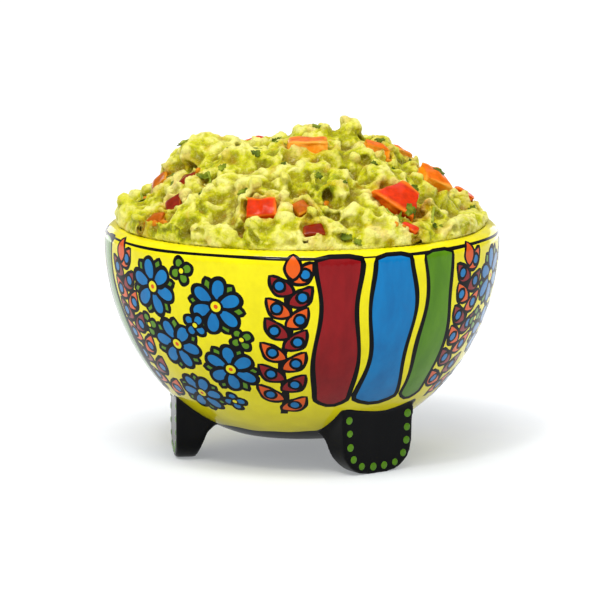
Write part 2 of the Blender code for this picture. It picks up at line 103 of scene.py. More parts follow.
TOMATO_PIECES = (  # x, y, length, width, height, turn, lean, taper, how far it stands out
    (2, -16, 17, 12, 8, 4, -8, 0.15, 1.7), (-13.5, -50, 13, 9, 8, -8, 12, 0.10, 1.7),
    (0, -51, 8, 7, 6, 30, 0, 0.25, 1.7), (33, -37, 20, 14, 9, -22, 10, 0.50, 1.5),
    (43.5, -10, 13, 12, 9, 30, 8, 0.30, 1.7), (32.5, 5, 10, 9, 8, 50, 0, 0.20, 1.6),
    (-39, -19, 9, 8, 7, 50, 0, 0.20, 0.8), (-43, -30, 10, 7, 6, 80, 0, 0.10, 0.8),
    (-49.5, -34, 10, 7, 6, -40, 0, 0.30, 0.8), (4, -59.5, 9, 7, 5, 10, 0, 0.20, 0.8),
    (36.5, -49.5, 8, 5.5, 5, -35, 0, 0.30, 1.4), (-48, -4, 13, 8, 7, 85, 0, 0.15, 1.6),
    (25, -6, 11, 8, 7, 10, 0, 0.20, 1.8), (-16, 23, 13, 10, 8, 25, 0, 0.20, 0.2),
    (-22, 50, 13, 10, 7, 160, 0, 0.15, 1.4), (12, 53, 15, 10, 8, 195, 0, 0.40, 1.2),
    (-48, 27, 13, 11, 8, 120, 0, 0.10, 1.4), (39, 40, 12, 9, 7, 215, 0, 0.25, 1.2),
    (56, 13, 12, 9, 7, 265, 0, 0.15, 1.0), (28, 24, 12, 10, 8, 240, 0, 0.45, 1.6),
    (-6, 36, 10, 8, 6, 100, 0, 0.20, 1.4),
)
FRONT_FLECKS = (  # x, y, length
    (-30.2, -59.2, 6.5), (37.8, -22, 6.5), (60.5, 4, 5.5), (-32.9, -22.2, 5), (-19.5, -40.4, 4.5),
    (-15.2, -20.2, 4), (-36.6, -0.8, 4), (14.8, -59.6, 4.5), (32.4, -13, 4.5), (19, -60.5, 4),
    (-26.5, -24, 4), (5.5, -36, 4),
)
FLECK_COUNT, FLECK_LENGTHS, FLECK_SEED, FLECK_LINE = 46, (3.6, 6.4), 5, -12.0
LOOSE_LEAVES = (  # x, y, length: on the tomato at the front right, and small shreds
    (28.5, -46.0, 6.5), (32.0, -46.6, 6.5), (35.5, -42.8, 5.5), (38.5, -38.5, 5.0), (41.5, -27.0, 4.5),
    (-37.0, -12.0, 3.0), (-34.0, -30.0, 3.2), (45.0, -41.0, 2.6), (8.0, -47.5, 2.6), (-6.0, -30.0, 2.6),
    (-8.5, -12.0, 3.0),
)
CRUMB_PLACES = [  # crumbs of tomato seen away from the pieces
    (38, -53), (34, -52), (31, -54), (41, -50), (-50, -38), (-47, -40), (8.6, -44.4), (14.2, -26.6),
]
STEMS = (  # x, y, direction in degrees, length
    (43.5, -36.0, 115, 12.0), (-33.0, -26.0, 70, 9.0), (30.0, -48.0, 160, 8.0), (16.0, 8.0, 30, 9.0),
    (-14.0, 34.0, 200, 11.0), (48.0, 22.0, 100, 9.0), (-55.0, 8.0, 80, 8.0),
)
TOMATO_BULGE = 0.12
CALM_ROUNDS, FLANK_FALL = 12, 1.8
DENTS = (  # x, y, width and rise of broad swells and hollows in the mash
    (-37, 2, 10, 2.6), (15, 3, 3.0, 1.6), (21.5, 3, 3.2, -2.4), (14.2, -27, 4.0, -3.0),
    (8.6, -45, 3.5, -2.5), (-24, -41, 4.5, -2.2), (-44, -25, 5.0, -2.5), (-12.6, -63, 3.0, -2.0),
    (2, -56, 3.0, -1.6), (-37, -42, 5.0, 1.6), (17, -52, 3.5, 1.6), (24, -12, 4.0, -2.0),
    (-33, -14, 5.0, -1.8), (-9, -35, 5.0, 1.2), (40, -26, 4.0, -1.8),
)
TOMATO_COVER = (  # how high the mash is heaped round each piece, in half heights
    0.45, 0.65, 0.80, 0.15, 0.20, 0.50, 1.10, 1.10, 0.95, 1.25, 0.75,
    0.50, 0.50, 0.60, 0.40, 0.40, 0.40, 0.50, 0.50, 0.40, 0.60,
)
TOMATO_TONES = (2, 1, 3, 1, 2, 2, 0, 0, 3, 0, 1, 3, 2, 1, 2, 1, 0, 2, 1, 1, 0)


# Shader helpers


def add_node(tree, kind, inputs=(), **settings):
    """A shader node with its settings, and its inputs set to values or linked to sockets."""
    made = tree.nodes.new("ShaderNode" + kind)
    for key, value in settings.items():
        setattr(made, key, value)
    for key, value in dict(inputs).items():
        if isinstance(value, bpy.types.NodeSocket):
            tree.links.new(value, made.inputs[key])
        else:
            made.inputs[key].default_value = value
    return made


def new_material(name, **values):
    """A material, its node tree and its Principled shader with the constant values set."""
    made = bpy.data.materials.new(name)
    made.use_nodes = True
    shader = made.node_tree.nodes["Principled BSDF"]
    for key, value in values.items():
        shader.inputs[key.replace("_", " ")].default_value = value
    return made, made.node_tree, shader


def rgba(colour):
    return (*colour, 1.0)


def noise_value(tree, scale, detail=3.0, roughness=0.5, stretch=(1, 1, 1), distortion=0.0):
    """A 3-D noise from object coordinates in metres. scale is in cycles a metre."""
    place = add_node(tree, "TexCoord").outputs["Object"]
    mapped = add_node(tree, "Mapping", {"Vector": place, "Scale": stretch}).outputs["Vector"]
    inputs = {"Vector": mapped, "Scale": scale, "Detail": detail}
    inputs.update({"Roughness": roughness, "Distortion": distortion})
    return add_node(tree, "TexNoise", inputs).outputs["Fac"]


def ramp(tree, value, stops):
    """A colour ramp over a value: stops are (position, colour)."""
    made = add_node(tree, "ValToRGB", {"Fac": value})
    elements = made.color_ramp.elements
    while len(elements) < len(stops):
        elements.new(0.5)
    for element, (position, colour) in zip(elements, stops):
        element.position = position
        element.color = rgba(colour)
    return made.outputs["Color"]


def remap(tree, value, low, high, to_low, to_high):
    inputs = {"Value": value, "From Min": low, "From Max": high, "To Min": to_low, "To Max": to_high}
    return add_node(tree, "MapRange", inputs).outputs["Result"]


def mix(tree, share, first, second, blend="MIX"):
    made = add_node(tree, "Mix", data_type="RGBA", blend_type=blend)
    sockets = [s for s in made.inputs if s.enabled]
    for socket, value in zip(sockets, (share, first, second)):
        if isinstance(value, bpy.types.NodeSocket):
            tree.links.new(value, socket)
        else:
            socket.default_value = value if isinstance(value, (int, float)) else rgba(value)
    return [s for s in made.outputs if s.enabled][0]


def bump(tree, height, distance, strength=1.0, under=None):
    made = add_node(tree, "Bump", {"Height": height, "Distance": distance, "Strength": strength})
    if under:
        tree.links.new(under, made.inputs["Normal"])
    return made.outputs["Normal"]


# Mesh helpers


def finish_piece(obj, slot, *nodes):
    """Shades the piece, hangs it on the root, and hides the CAD parts that it stands for. slot is not used.
    """
    obj.data.shade_smooth()
    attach(obj, "root")
    if nodes:
        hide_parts(*nodes)
    return obj


def object_from_mesh(name, mesh, materials=()):
    obj = bpy.data.objects.new(name, mesh)
    bpy.context.scene.collection.objects.link(obj)
    for material in materials:
        mesh.materials.append(material)
    return obj


def object_from_bmesh(name, bm, materials=()):
    mesh = bpy.data.meshes.new(name)
    bm.to_mesh(mesh)
    bm.free()
    return object_from_mesh(name, mesh, materials)


def vertex_array(mesh, what="co"):
    values = np.empty(len(mesh.vertices) * 3)
    mesh.vertices.foreach_get(what, values)
    return values.reshape(-1, 3)


def move_vertices(mesh, co):
    """Gives the vertices new places, in millimetres."""
    mesh.vertices.foreach_set("co", (co * MM).ravel())
    mesh.update()


def mesh_arrays(mesh):
    return vertex_array(mesh) / MM, [list(face.vertices) for face in mesh.polygons]


def neighbours(mesh):
    """The edges as pairs of vertices, and how many each vertex has."""
    edges = np.empty(len(mesh.edges) * 2, dtype=np.int64)
    mesh.edges.foreach_get("vertices", edges)
    count = np.bincount(edges, minlength=len(mesh.vertices)).astype(float)
    return edges.reshape(-1, 2), count


def neighbours_mean(values, edges, count):
    """The mean over each vertex's neighbours."""
    total = np.zeros_like(values)
    np.add.at(total, edges[:, 0], values[edges[:, 1]])
    np.add.at(total, edges[:, 1], values[edges[:, 0]])
    return total / np.maximum(count, 1)[:, None]


def apply_modifiers(obj):
    bpy.context.view_layer.update()
    graph = bpy.context.evaluated_depsgraph_get()
    made = bpy.data.meshes.new_from_object(obj.evaluated_get(graph))
    obj.modifiers.clear()
    obj.data = made


def soften(obj, rounds):
    modifier = obj.modifiers.new("Soften", "SMOOTH")
    modifier.factor, modifier.iterations = 0.5, rounds
    apply_modifiers(obj)


def boolean(obj, operation, other):
    """Cuts or joins obj by another object, which is removed."""
    modifier = obj.modifiers.new(operation.title(), "BOOLEAN")
    modifier.operation, modifier.object, modifier.solver = operation, other, "MANIFOLD"
    apply_modifiers(obj)
    bpy.data.objects.remove(other)


def remesh(obj, voxel):
    modifier = obj.modifiers.new("Fuse", "REMESH")
    modifier.mode, modifier.voxel_size = "VOXEL", voxel
    apply_modifiers(obj)


def arc(centre_r, centre_z, radius, start, end, steps):
    angles = [math.radians(start + (end - start) * i / steps) for i in range(steps + 1)]
    return [(centre_r + radius * math.cos(a), centre_z + radius * math.sin(a)) for a in angles]


def belly_curve(radius, depth, low, rings):
    last = math.asin(min(1.0, ((BELLY_HEIGHT - low) / depth) ** (POWER_DOWN / 2)))
    turns = [last * (1 - i / rings) for i in range(rings + 1)]
    return [
        (
            radius * max(0.0, math.cos(a)) ** (2 / POWER_OUT),
            BELLY_HEIGHT - depth * math.sin(a) ** (2 / POWER_DOWN),
        )
        for a in turns
    ]


def belly_height_at(radius):
    out = min(1.0, (radius / BELLY_RADIUS)) ** POWER_OUT
    return BELLY_HEIGHT - BELLY_DEPTH * (1 - out) ** (1 / POWER_DOWN)


def lathe(profile, segments):
    """A closed bmesh turned from a profile of (r, z) in millimetres, axis to axis."""
    bm = bmesh.new()
    turns = [2 * math.pi * i / segments for i in range(segments)]
    rings = [
        [bm.verts.new((r * MM * math.cos(a), r * MM * math.sin(a), z * MM)) for a in turns]
        for r, z in profile[1:-1]
    ]
    for lower, upper in zip(rings, rings[1:]):
        for i in range(segments):
            j = (i + 1) % segments
            bm.faces.new((lower[i], lower[j], upper[j], upper[i]))
    for pole, ring in ((profile[0], rings[0]), (profile[-1], rings[-1])):
        middle = bm.verts.new((0, 0, pole[1] * MM))
        for i in range(segments):
            bm.faces.new((middle, ring[i], ring[(i + 1) % segments]))
    bmesh.ops.recalc_face_normals(bm, faces=bm.faces)
    return bm


# Bowl: meridian


def build_meridian():
    """Dense (length, r, z) along the wall: length 0 is the lip's top, negative is inside."""
    inner_depth = BELLY_HEIGHT - UNDERSIDE - FLOOR_THICK
    lip = BELLY_RADIUS - LIP_OUT
    inside = belly_curve(BELLY_RADIUS - WALL, inner_depth, BELLY_HEIGHT - inner_depth, 60)
    inside += arc(lip, RIM - LIP_IN, LIP_IN, 180, 90, 16)
    outside = arc(lip, RIM - LIP_OUT, LIP_OUT, 90, 0, 30)
    outside += belly_curve(BELLY_RADIUS, BELLY_DEPTH, UNDERSIDE, 240)[::-1]
    outside.append((0.0, UNDERSIDE))
    points = np.array(inside[:-1] + outside)
    steps = np.hypot(*np.diff(points, axis=0).T)
    length = np.concatenate([[0], np.cumsum(steps)])
    length -= length[len(inside) - 1]
    keep = np.concatenate([[True], steps > 1e-6])
    return length[keep], points[keep, 0], points[keep, 1]


LENGTH, RADIUS_AT, HEIGHT_AT = build_meridian()
OUTER = LENGTH >= 0


def length_at_height(z):
    """Meridian length of the outer wall's point at a height."""
    zs, ls = HEIGHT_AT[OUTER][::-1], LENGTH[OUTER][::-1]
    return np.interp(z, zs, ls)


def on_bowl(u, v):
    """Positions in millimetres at (azimuth * belly radius, length)."""
    r, z = np.interp(v, LENGTH, RADIUS_AT), np.interp(v, LENGTH, HEIGHT_AT)
    azimuth = u / BELLY_RADIUS
    return np.stack([r * np.sin(azimuth), r * -np.cos(azimuth), z], axis=-1)


def foot_junction_height(azimuth):
    """Height at which a foot meets the belly at an azimuth in degrees, or 0 away from feet."""
    best = 0.0
    for middle in FOOT_ANGLES:
        off = math.radians(abs((azimuth - middle + 180) % 360 - 180))
        corner = math.atan2(FOOT_WIDTH / 2, FOOT_FACE)
        if off < corner:
            best = max(best, belly_height_at(FOOT_FACE / math.cos(off)))
        elif off < math.radians(50):
            best = max(best, belly_height_at(FOOT_WIDTH / 2 / math.sin(off)))
    return best


def black_edge():
    """Height of the lower edge of the painting, all round, as (azimuths in degrees, heights)."""
    azimuths = np.arange(-180, 180.01, 1.0)
    heights = np.array([max(14.4, foot_junction_height(a) + 1.0) for a in azimuths])
    kernel = np.hanning(9) / np.hanning(9).sum()
    raised = np.maximum(heights, np.roll(heights, 1))
    soft = np.convolve(np.concatenate([raised[-9:], raised, raised[:9]]), kernel, "same")[9:-9]
    wave = 0.35 * np.sin(np.radians(azimuths) * 7 + 1) + 0.2 * np.sin(np.radians(azimuths) * 16)
    soft = soft + wave
    soft[-1] = soft[0]
    return azimuths, soft


# Bowl: painted motifs. Shapes are drawn on paper in millimetres and laid on the wall.

INK, SUN, SEA, BLOOD, LEAF, FLAME = range(6)
SEAM = -102.4


class Painting:
    """Closed outlines in painting order, each with the glaze that fills it."""

    def __init__(self):
        self.loops, self.slots = [], []
        self.draw = random.Random(3)

    def lay(self, outline, slot, azimuth, height, turn=0.0):
        """Puts an outline (n, 2), drawn with +y up, round a point of the wall."""
        a = math.radians(turn)
        x = outline[:, 0] * math.cos(a) - outline[:, 1] * math.sin(a)
        y = outline[:, 0] * math.sin(a) + outline[:, 1] * math.cos(a)
        v = length_at_height(height) - y
        u = BELLY_RADIUS * (math.radians(azimuth) + x / np.interp(v, LENGTH, RADIUS_AT))
        self.add(np.stack([u, v], axis=-1), slot)

    def add(self, loop, slot):
        self.loops.append(anticlockwise(loop))
        self.slots.append(slot)

    def wrapped(self, first, last):
        """Every outline moved in between the seam's two sides, and repeated where it crosses one."""
        span = last - first
        for loop, slot in zip(self.loops, self.slots):
            across = loop[:, 0] + span * math.ceil((first - loop[:, 0].mean()) / span)
            shifts = [0.0]
            if across.min() < first:
                shifts.append(span)
            if across.max() > last:
                shifts.append(-span)
            for shift in shifts:
                yield np.stack([across + shift, loop[:, 1]], axis=-1), slot

    def inked(self, outline, slot, azimuth, height, turn=0.0, line=1.0):
        """The outline with a brushed ink line round it."""
        self.lay(widen(outline, line, self.draw), INK, azimuth, height, turn)
        self.lay(outline, slot, azimuth, height, turn)


def anticlockwise(loop):
    x, y = loop[:, 0], loop[:, 1]
    area = np.sum(x * np.roll(y, -1) - np.roll(x, -1) * y)
    return loop if area > 0 else loop[::-1]


def widen(outline, width, draw):
    """The closed outline moved outwards by an uneven brush width."""
    ahead, behind = np.roll(outline, -1, axis=0), np.roll(outline, 1, axis=0)
    along = ahead - behind
    along /= np.maximum(np.linalg.norm(along, axis=1, keepdims=True), 1e-9)
    area = np.sum(outline[:, 0] * ahead[:, 1] - ahead[:, 0] * outline[:, 1])
    out = np.stack([along[:, 1], -along[:, 0]], axis=-1) * np.sign(area)
    t = np.arange(len(outline)) / len(outline) * 2 * math.pi
    uneven = 1 + 0.12 * np.sin(2 * t + draw.uniform(0, 6)) + 0.08 * np.sin(5 * t + draw.uniform(0, 6))
    return outline + out * (width * uneven)[:, None]


def turned(points, degrees):
    a = math.radians(degrees)
    return points @ np.array([[math.cos(a), math.sin(a)], [-math.sin(a), math.cos(a)]])


def oval(x, y, length, width, turn=0.0, tip=0.0, count=28):
    """A petal or leaf along +y from (x, y). tip from -1 to 1 narrows its base or its end."""
    t = np.arange(count) / count * 2 * math.pi
    up = 0.5 - 0.5 * np.cos(t)
    side = np.sin(t) * (1 + tip * (0.5 - up)) * width / 2
    return turned(np.stack([side, up * length], axis=-1), turn) + (x, y)


def blade(x, y, length, width, turn=0.0, bend=0.0, count=30):
    """A leaf that is pointed at both ends and curls sideways by bend."""
    half = count // 2
    t = np.linspace(0, 1, half + 1)
    side = np.sin(math.pi * t**0.85) ** 0.9 * width / 2
    spine = bend * np.sin(math.pi * t) * length * 0.5
    right = np.stack([spine + side, t * length], axis=-1)
    left = np.stack([spine - side, t * length], axis=-1)[::-1][1:-1]
    return turned(np.concatenate([right, left]), turn) + (x, y)


def disc(x, y, radius, count=22):
    t = np.arange(count) / count * 2 * math.pi
    return np.stack([x + radius * np.cos(t), y + radius * np.sin(t)], axis=-1)


def rosette(paint, azimuth, height, size, turn):
    """Six broad petals with green leaflets between them and a yellow eye."""
    draw = paint.draw
    for k in range(6):
        leaflet = blade(0, 0.42 * size, 0.62 * size, 0.36 * size, 0)
        around = turn + 60 * k + 30 + draw.uniform(-4, 4)
        paint.inked(leaflet, LEAF, azimuth, height, around, 1.4)
    for k in range(6):
        petal = oval(0, 0.20 * size, size * draw.uniform(0.74, 0.82), 0.44 * size, 0, -0.5)
        paint.inked(petal, SEA, azimuth, height, turn + 60 * k + draw.uniform(-3, 3), 1.5)
    paint.inked(disc(0, 0, 0.2 * size), SUN, azimuth, height, 0, 1.0)
    paint.lay(disc(0, 0, 0.085 * size, 12), FLAME, azimuth, height)


def blossom(paint, azimuth, height, size, turn, petal_slot):
    """A small four-petalled flower."""
    for k in range(4):
        petal = oval(0, 0.12 * size, 0.88 * size, 0.62 * size, 0, -0.5, 22)
        paint.inked(petal, petal_slot, azimuth, height, turn + 90 * k, 1.3)
    paint.inked(disc(0, 0, 0.22 * size, 14), SUN, azimuth, height, 0, 0.6)


def sprig(paint, azimuth, top, bottom, lean):
    """A climbing stem with single leaves on alternate sides and berries opposite them."""
    draw = paint.draw
    count = 13
    steps = 40
    edge = []
    for side in (1, -1):
        for k in range(steps + 1):
            share = (k if side == 1 else steps - k) / steps
            height = bottom - 2 + (top + 5 - bottom) * share
            v = float(length_at_height(height))
            scale = BELLY_RADIUS / float(np.interp(v, LENGTH, RADIUS_AT))
            along = azimuth + lean * (share - 0.5) + 0.9 * math.sin(share * 4 * math.pi)
            u = BELLY_RADIUS * math.radians(along) + side * 1.3 * scale
            edge.append((u, v))
    paint.add(np.array(edge), INK)
    for k in range(count):
        share = k / (count - 1)
        height = bottom + (top - bottom) * share
        az = azimuth + lean * (share - 0.5)
        side = 1 if k % 2 else -1
        size = 10.6 - 1.6 * share
        slot = (FLAME, BLOOD)[k // 2 % 2]
        leaf = blade(side * 0.2, 0, size, 4.9, side * (50 + draw.uniform(-4, 4)), side * -0.2)
        paint.inked(leaf, slot, az, height, 0, 1.15)
        berry = disc(-side * 4.2, 2.4, 1.5, 16)
        paint.inked(berry, SEA, az, height, 0, 1.0)
    paint.inked(blade(0, 0, 8.0, 4.8, 0), FLAME, azimuth + lean * 0.5, top + 1.0, 0, 1.1)


def stripe(paint, slot, azimuth, lean, half, wave, phase):
    """An upright band with gently waving sides and rounded lower corners."""
    steps = 56
    sides = []
    for side in (1, -1):
        for k in range(steps + 1):
            share = k / steps
            v = float(length_at_height(PAINT_TOP + (PAINT_LOW - PAINT_TOP) * share))
            r = float(np.interp(v, LENGTH, RADIUS_AT))
            swell = half * (1 + wave * math.cos(2 * math.pi * (1.5 * share + phase)))
            ends = min(1.0, (1 - share) * steps / 3 + 0.15, share * steps / 1.5 + 0.3)
            swell *= (0.72 + 0.28 * r / BELLY_RADIUS) * math.sin(ends * math.pi / 2)
            x = math.radians(azimuth + lean * share) * r + side * swell
            sides.append((side, x * BELLY_RADIUS / r, v))
    right = [p[1:] for p in sides if p[0] == 1]
    left = [p[1:] for p in sides if p[0] == -1][::-1]
    loop = np.array(right + left)
    scale = np.interp(loop[:, 1], LENGTH, RADIUS_AT) / BELLY_RADIUS
    flat = np.stack([loop[:, 0] * scale, loop[:, 1]], axis=-1)
    wide = widen(flat, 1.7, paint.draw)
    wide_scale = np.interp(wide[:, 1], LENGTH, RADIUS_AT) / BELLY_RADIUS
    paint.add(np.stack([wide[:, 0] / wide_scale, wide[:, 1]], axis=-1), INK)
    paint.add(loop, slot)


def paint_bowl():
    paint = Painting()
    for turn in (0, 120, 240):
        rosette(paint, turn - 48, 67.5, 9.8, 10)
        rosette(paint, turn - 25.5, 63, 9.6, -12)
        rosette(paint, turn - 42.5, 47.5, 9.4, 20)
        rosette(paint, turn - 24, 40, 9.2, 0)
        rosette(paint, turn - 41, 29, 8.2, 28)
        blossom(paint, turn - 36.3, 74.5, 4.2, 20, LEAF)
        blossom(paint, turn - 33.5, 55.5, 4.2, 50, SEA)
        blossom(paint, turn - 53.5, 53.0, 4.0, 10, LEAF)
        blossom(paint, turn - 18.5, 51.5, 3.8, 30, LEAF)
        blossom(paint, turn - 27, 27.0, 3.8, 5, SEA)
        sprig(paint, turn - 5, 73, 25, 5)
        sprig(paint, turn + 58, 73, 27, -4)
        stripe(paint, BLOOD, turn + 10.5, 0.5, 6.4, 0.16, 0.0)
        stripe(paint, SEA, turn + 26.8, 2.0, 7.2, 0.16, 0.5)
        stripe(paint, LEAF, turn + 42.5, 3.0, 5.4, 0.16, 0.1)
    return paint


def bowl_shell(glazes):
    """The thrown bowl with its painting laid out as faces of coloured glaze."""
    paint = paint_bowl()
    first = math.radians(SEAM) * BELLY_RADIUS
    last = first + 2 * math.pi * BELLY_RADIUS
    v_in, v_out = -14.0, float(LENGTH[-2])
    columns = 176
    across = np.linspace(first, last, columns + 1)
    loops, slots = [], []

    def band(upper_v, lower_v):
        upper = np.stack([across, upper_v], axis=-1)
        lower = np.stack([across, lower_v + 0 * across], axis=-1)[::-1]
        loops.append(anticlockwise(np.concatenate([upper, lower])))
        slots.append(INK)

    turns = across / BELLY_RADIUS
    inner_edge = -1.5 + 0.25 * np.sin(turns * 9) + 0.2 * np.sin(turns * 17 + 1)
    band(inner_edge, v_in)
    band(LINE_TOP + 0.25 * np.sin(turns * 5), LINE_LOW + 0.22 * np.sin(turns * 8 + 2))
    azimuths, heights = black_edge()
    edge = np.interp(np.degrees(across / BELLY_RADIUS), azimuths, heights, period=360)
    band(length_at_height(edge), v_out)

    for loop, slot in paint.wrapped(first, last):
        loops.append(loop)
        slots.append(slot)
    points, faces = [], []
    for loop in loops:
        faces.append(list(range(len(points), len(points) + len(loop))))
        points += loop.tolist()
    seam = [(len(points), len(points) + 1), (len(points) + 2, len(points) + 3)]
    points += [(first, v_in), (first, v_out), (last, v_in), (last, v_out)]
    rows = np.concatenate([np.arange(v_in, 8, 1.0), np.arange(8, v_out, 2.4), [v_out]])
    for row, v in enumerate(rows):
        shift = 0.5 if row % 2 else 0.0
        inside = (across[:-1] + shift * (across[1] - across[0]))[1:]
        points += [(u, v) for u in inside]
        points += [(first, v), (last, v)]
    vectors = [Vector(p) for p in points]
    verts, _, tris, _, _, origin = delaunay_2d_cdt(vectors, seam, faces, 0, 1e-4)
    flat = np.array([tuple(v) for v in verts])
    kept = [first < flat[list(tri), 0].mean() < last for tri in tris]
    flat[:, 0] = np.clip(flat[:, 0], first, last)
    flat[:, 1] = np.clip(flat[:, 1], v_in, v_out)
    places = on_bowl(flat[:, 0], flat[:, 1])

    bm = bmesh.new()
    made = {}
    for tri, inside, keep in zip(tris, origin, kept):
        if not keep:
            continue
        for i in tri:
            if i not in made:
                made[i] = bm.verts.new(places[i] * MM)
        face = bm.faces.new([made[i] for i in tri])
        face.material_index = slots[max(inside)] if inside else SUN
    bmesh.ops.remove_doubles(bm, verts=bm.verts, dist=0.004 * MM)
    close_shell(bm, v_in)
    bmesh.ops.recalc_face_normals(bm, faces=bm.faces)
    shell = object_from_bmesh("bowl_glazed", bm, glazes)
    finish_piece(shell, "glazed_pottery", "bowl")
    set_turned_normals(shell.data)


def close_shell(bm, v_in):
    """Carries the open inner and lower rims on to the middle of the floor and underside."""
    rims = {}
    for edge in bm.edges:
        if len(edge.link_faces) == 1:
            key = "inner" if edge.verts[0].co.z > 40 * MM else "under"
            rims.setdefault(key, []).append(edge)
    inner_z = float(np.interp(v_in, LENGTH, HEIGHT_AT))
    bottom = UNDERSIDE + FLOOR_THICK
    for key, edges in rims.items():
        if key == "inner":
            heights = [inner_z + (bottom - inner_z) * (i / 10) ** 0.7 for i in range(1, 10)]
            v_of = lambda z: np.interp(z, HEIGHT_AT[~OUTER], LENGTH[~OUTER])
            radii = [(float(np.interp(v_of(z), LENGTH, RADIUS_AT)), z) for z in heights]
        else:
            radii = [(18.0, UNDERSIDE), (9.0, UNDERSIDE)]
        for r, z in radii:
            grown = bmesh.ops.extrude_edge_only(bm, edges=edges)["geom"]
            edges = [g for g in grown if isinstance(g, bmesh.types.BMEdge) and len(g.link_faces) == 1]
            for vert in {v for e in edges for v in e.verts}:
                scale = r * MM / max(vert.co.xy.length, 1e-9)
                vert.co = (vert.co.x * scale, vert.co.y * scale, z * MM)
            for face in {f for e in edges for f in e.link_faces}:
                face.material_index = INK
        for face in bmesh.ops.contextual_create(bm, geom=edges)["faces"]:
            face.material_index = INK


def set_turned_normals(mesh):
    """Normals of the true turned form, so that uneven triangles don't show in the gloss."""
    co = vertex_array(mesh) / MM
    r = np.hypot(co[:, 0], co[:, 1])
    tree = point_tree(np.stack([RADIUS_AT, HEIGHT_AT, 0 * RADIUS_AT], axis=-1))
    nearest = np.array([tree.find((a, b, 0))[1] for a, b in zip(r, co[:, 2])])
    dr, dz = np.gradient(RADIUS_AT), np.gradient(HEIGHT_AT)
    size = np.hypot(dr, dz)
    out, up = (-dz / size)[nearest], (dr / size)[nearest]
    safe = np.maximum(r, 1e-6)
    normals = np.stack([out * co[:, 0] / safe, out * co[:, 1] / safe, up], axis=-1)
    flat = (r < 25) & (co[:, 2] < UNDERSIDE + 0.2)
    normals[flat] = (0, 0, -1)
    mesh.normals_split_custom_set_from_vertices(normals.tolist())


# Bowl: feet


def foot_path(inset=0.0, steps=14):
    """Points (across, up) round the foot's rounded end, moved inwards by inset."""
    half = FOOT_WIDTH / 2 - FOOT_NARROWING
    centre = half - FOOT_CORNER
    turn = FOOT_CORNER - inset
    left = arc(-centre, FOOT_CORNER, turn, 180, 270, steps)
    right = arc(centre, FOOT_CORNER, turn, 270, 360, steps)
    return left + right


def foot_solid(angle):
    outline = foot_path()
    bm = bmesh.new()
    outer, inner = [], []
    for x, z in outline:
        outer.append(bm.verts.new((x, FOOT_FACE, z)))
        inner.append(bm.verts.new((x, FOOT_FACE - FOOT_TOE - FOOT_TAPER * z, z)))
    for x in (FOOT_WIDTH / 2, 0.0, -FOOT_WIDTH / 2):
        top = belly_height_at(math.hypot(x, FOOT_FACE))
        outer.append(bm.verts.new((x, FOOT_FACE, top + 2.5)))
        y = FOOT_FACE - FOOT_TOE - FOOT_TAPER * top
        inner.append(bm.verts.new((x, y, belly_height_at(math.hypot(x, y)) + 2.5)))
    bm.faces.new(outer)
    bm.faces.new(inner)
    for i in range(len(outer)):
        j = (i + 1) % len(outer)
        bm.faces.new((outer[i], outer[j], inner[j], inner[i]))
    bm.transform(Matrix.Rotation(math.radians(angle) - math.pi, 4, "Z") @ Matrix.Scale(MM, 4))
    bmesh.ops.recalc_face_normals(bm, faces=bm.faces)
    return object_from_bmesh("foot", bm)


def bowl_feet(glaze):
    """The three slab feet, melted into a thin skin of the belly so that they leave in a soft fillet."""
    skin = 0.16
    outside = [(r - skin, z + 0.4 * skin) for r, z in belly_curve(BELLY_RADIUS, BELLY_DEPTH, UNDERSIDE, 60)]
    outside = [(0, UNDERSIDE + skin)] + [p for p in outside if p[1] < 31] + [(0, 31)]
    feet = object_from_bmesh("bowl_feet", lathe(outside, 128))
    for angle in FOOT_ANGLES:
        boolean(feet, "UNION", foot_solid(angle))
    remesh(feet, (0.65) * MM)
    soften(feet, 10)
    kept = lathe([(0, -1), (60, -1), (60, FEET_TOP), (0, FEET_TOP)], 32)
    boolean(feet, "INTERSECT", object_from_bmesh("kept", kept))
    feet.data.materials.clear()
    feet.data.materials.append(glaze)
    finish_piece(feet, "glazed_pottery", "bowl")


def foot_dots(glaze):
    """Beads of green glaze in a row round the face of each foot."""
    inset = 2.6
    path = [(-(FOOT_WIDTH / 2 - 0.3 - inset), 20.0)] + foot_path(inset, 20)
    path += [(FOOT_WIDTH / 2 - 0.3 - inset, 20.0)]
    path = np.array(path)
    length = np.concatenate([[0], np.cumsum(np.hypot(*np.diff(path, axis=0).T))])
    draw = random.Random(8)
    bm = bmesh.new()
    for angle in FOOT_ANGLES:
        turn = Matrix.Rotation(math.radians(angle) - math.pi, 4, "Z")
        for k in range(12):
            at = length[-1] * k / 11 + draw.uniform(-0.2, 0.2)
            x, z = (float(np.interp(at, length, path[:, i])) for i in range(2))
            radius = 1.45 * draw.uniform(0.88, 1.08)
            bead = bmesh.ops.create_uvsphere(bm, u_segments=18, v_segments=10, radius=1.0)["verts"]
            place = Vector((x, FOOT_FACE - 0.12, z))
            for vert in bead:
                c = vert.co
                local = Vector((c.x * radius, c.z * 0.38, c.y * radius * draw.uniform(0.99, 1.01)))
                vert.co = turn @ ((place + local) * MM)
    bmesh.ops.recalc_face_normals(bm, faces=bm.faces)
    finish_piece(object_from_bmesh("foot_dots", bm, [glaze]), "glazed_pottery")


# Mound of guacamole


def dome_height(x, y):
    share = min(1.0, math.hypot(x, y) / MOUND_RADIUS)
    return MOUND_EDGE + CROWN_RISE * (1 - share**DOME_OUT) ** DOME_UP


def dome_normal(x, y):
    step = 0.5
    fall_x = dome_height(x - step, y) - dome_height(x + step, y)
    fall_y = dome_height(x, y - step) - dome_height(x, y + step)
    return Vector((fall_x, fall_y, 2 * step)).normalized()


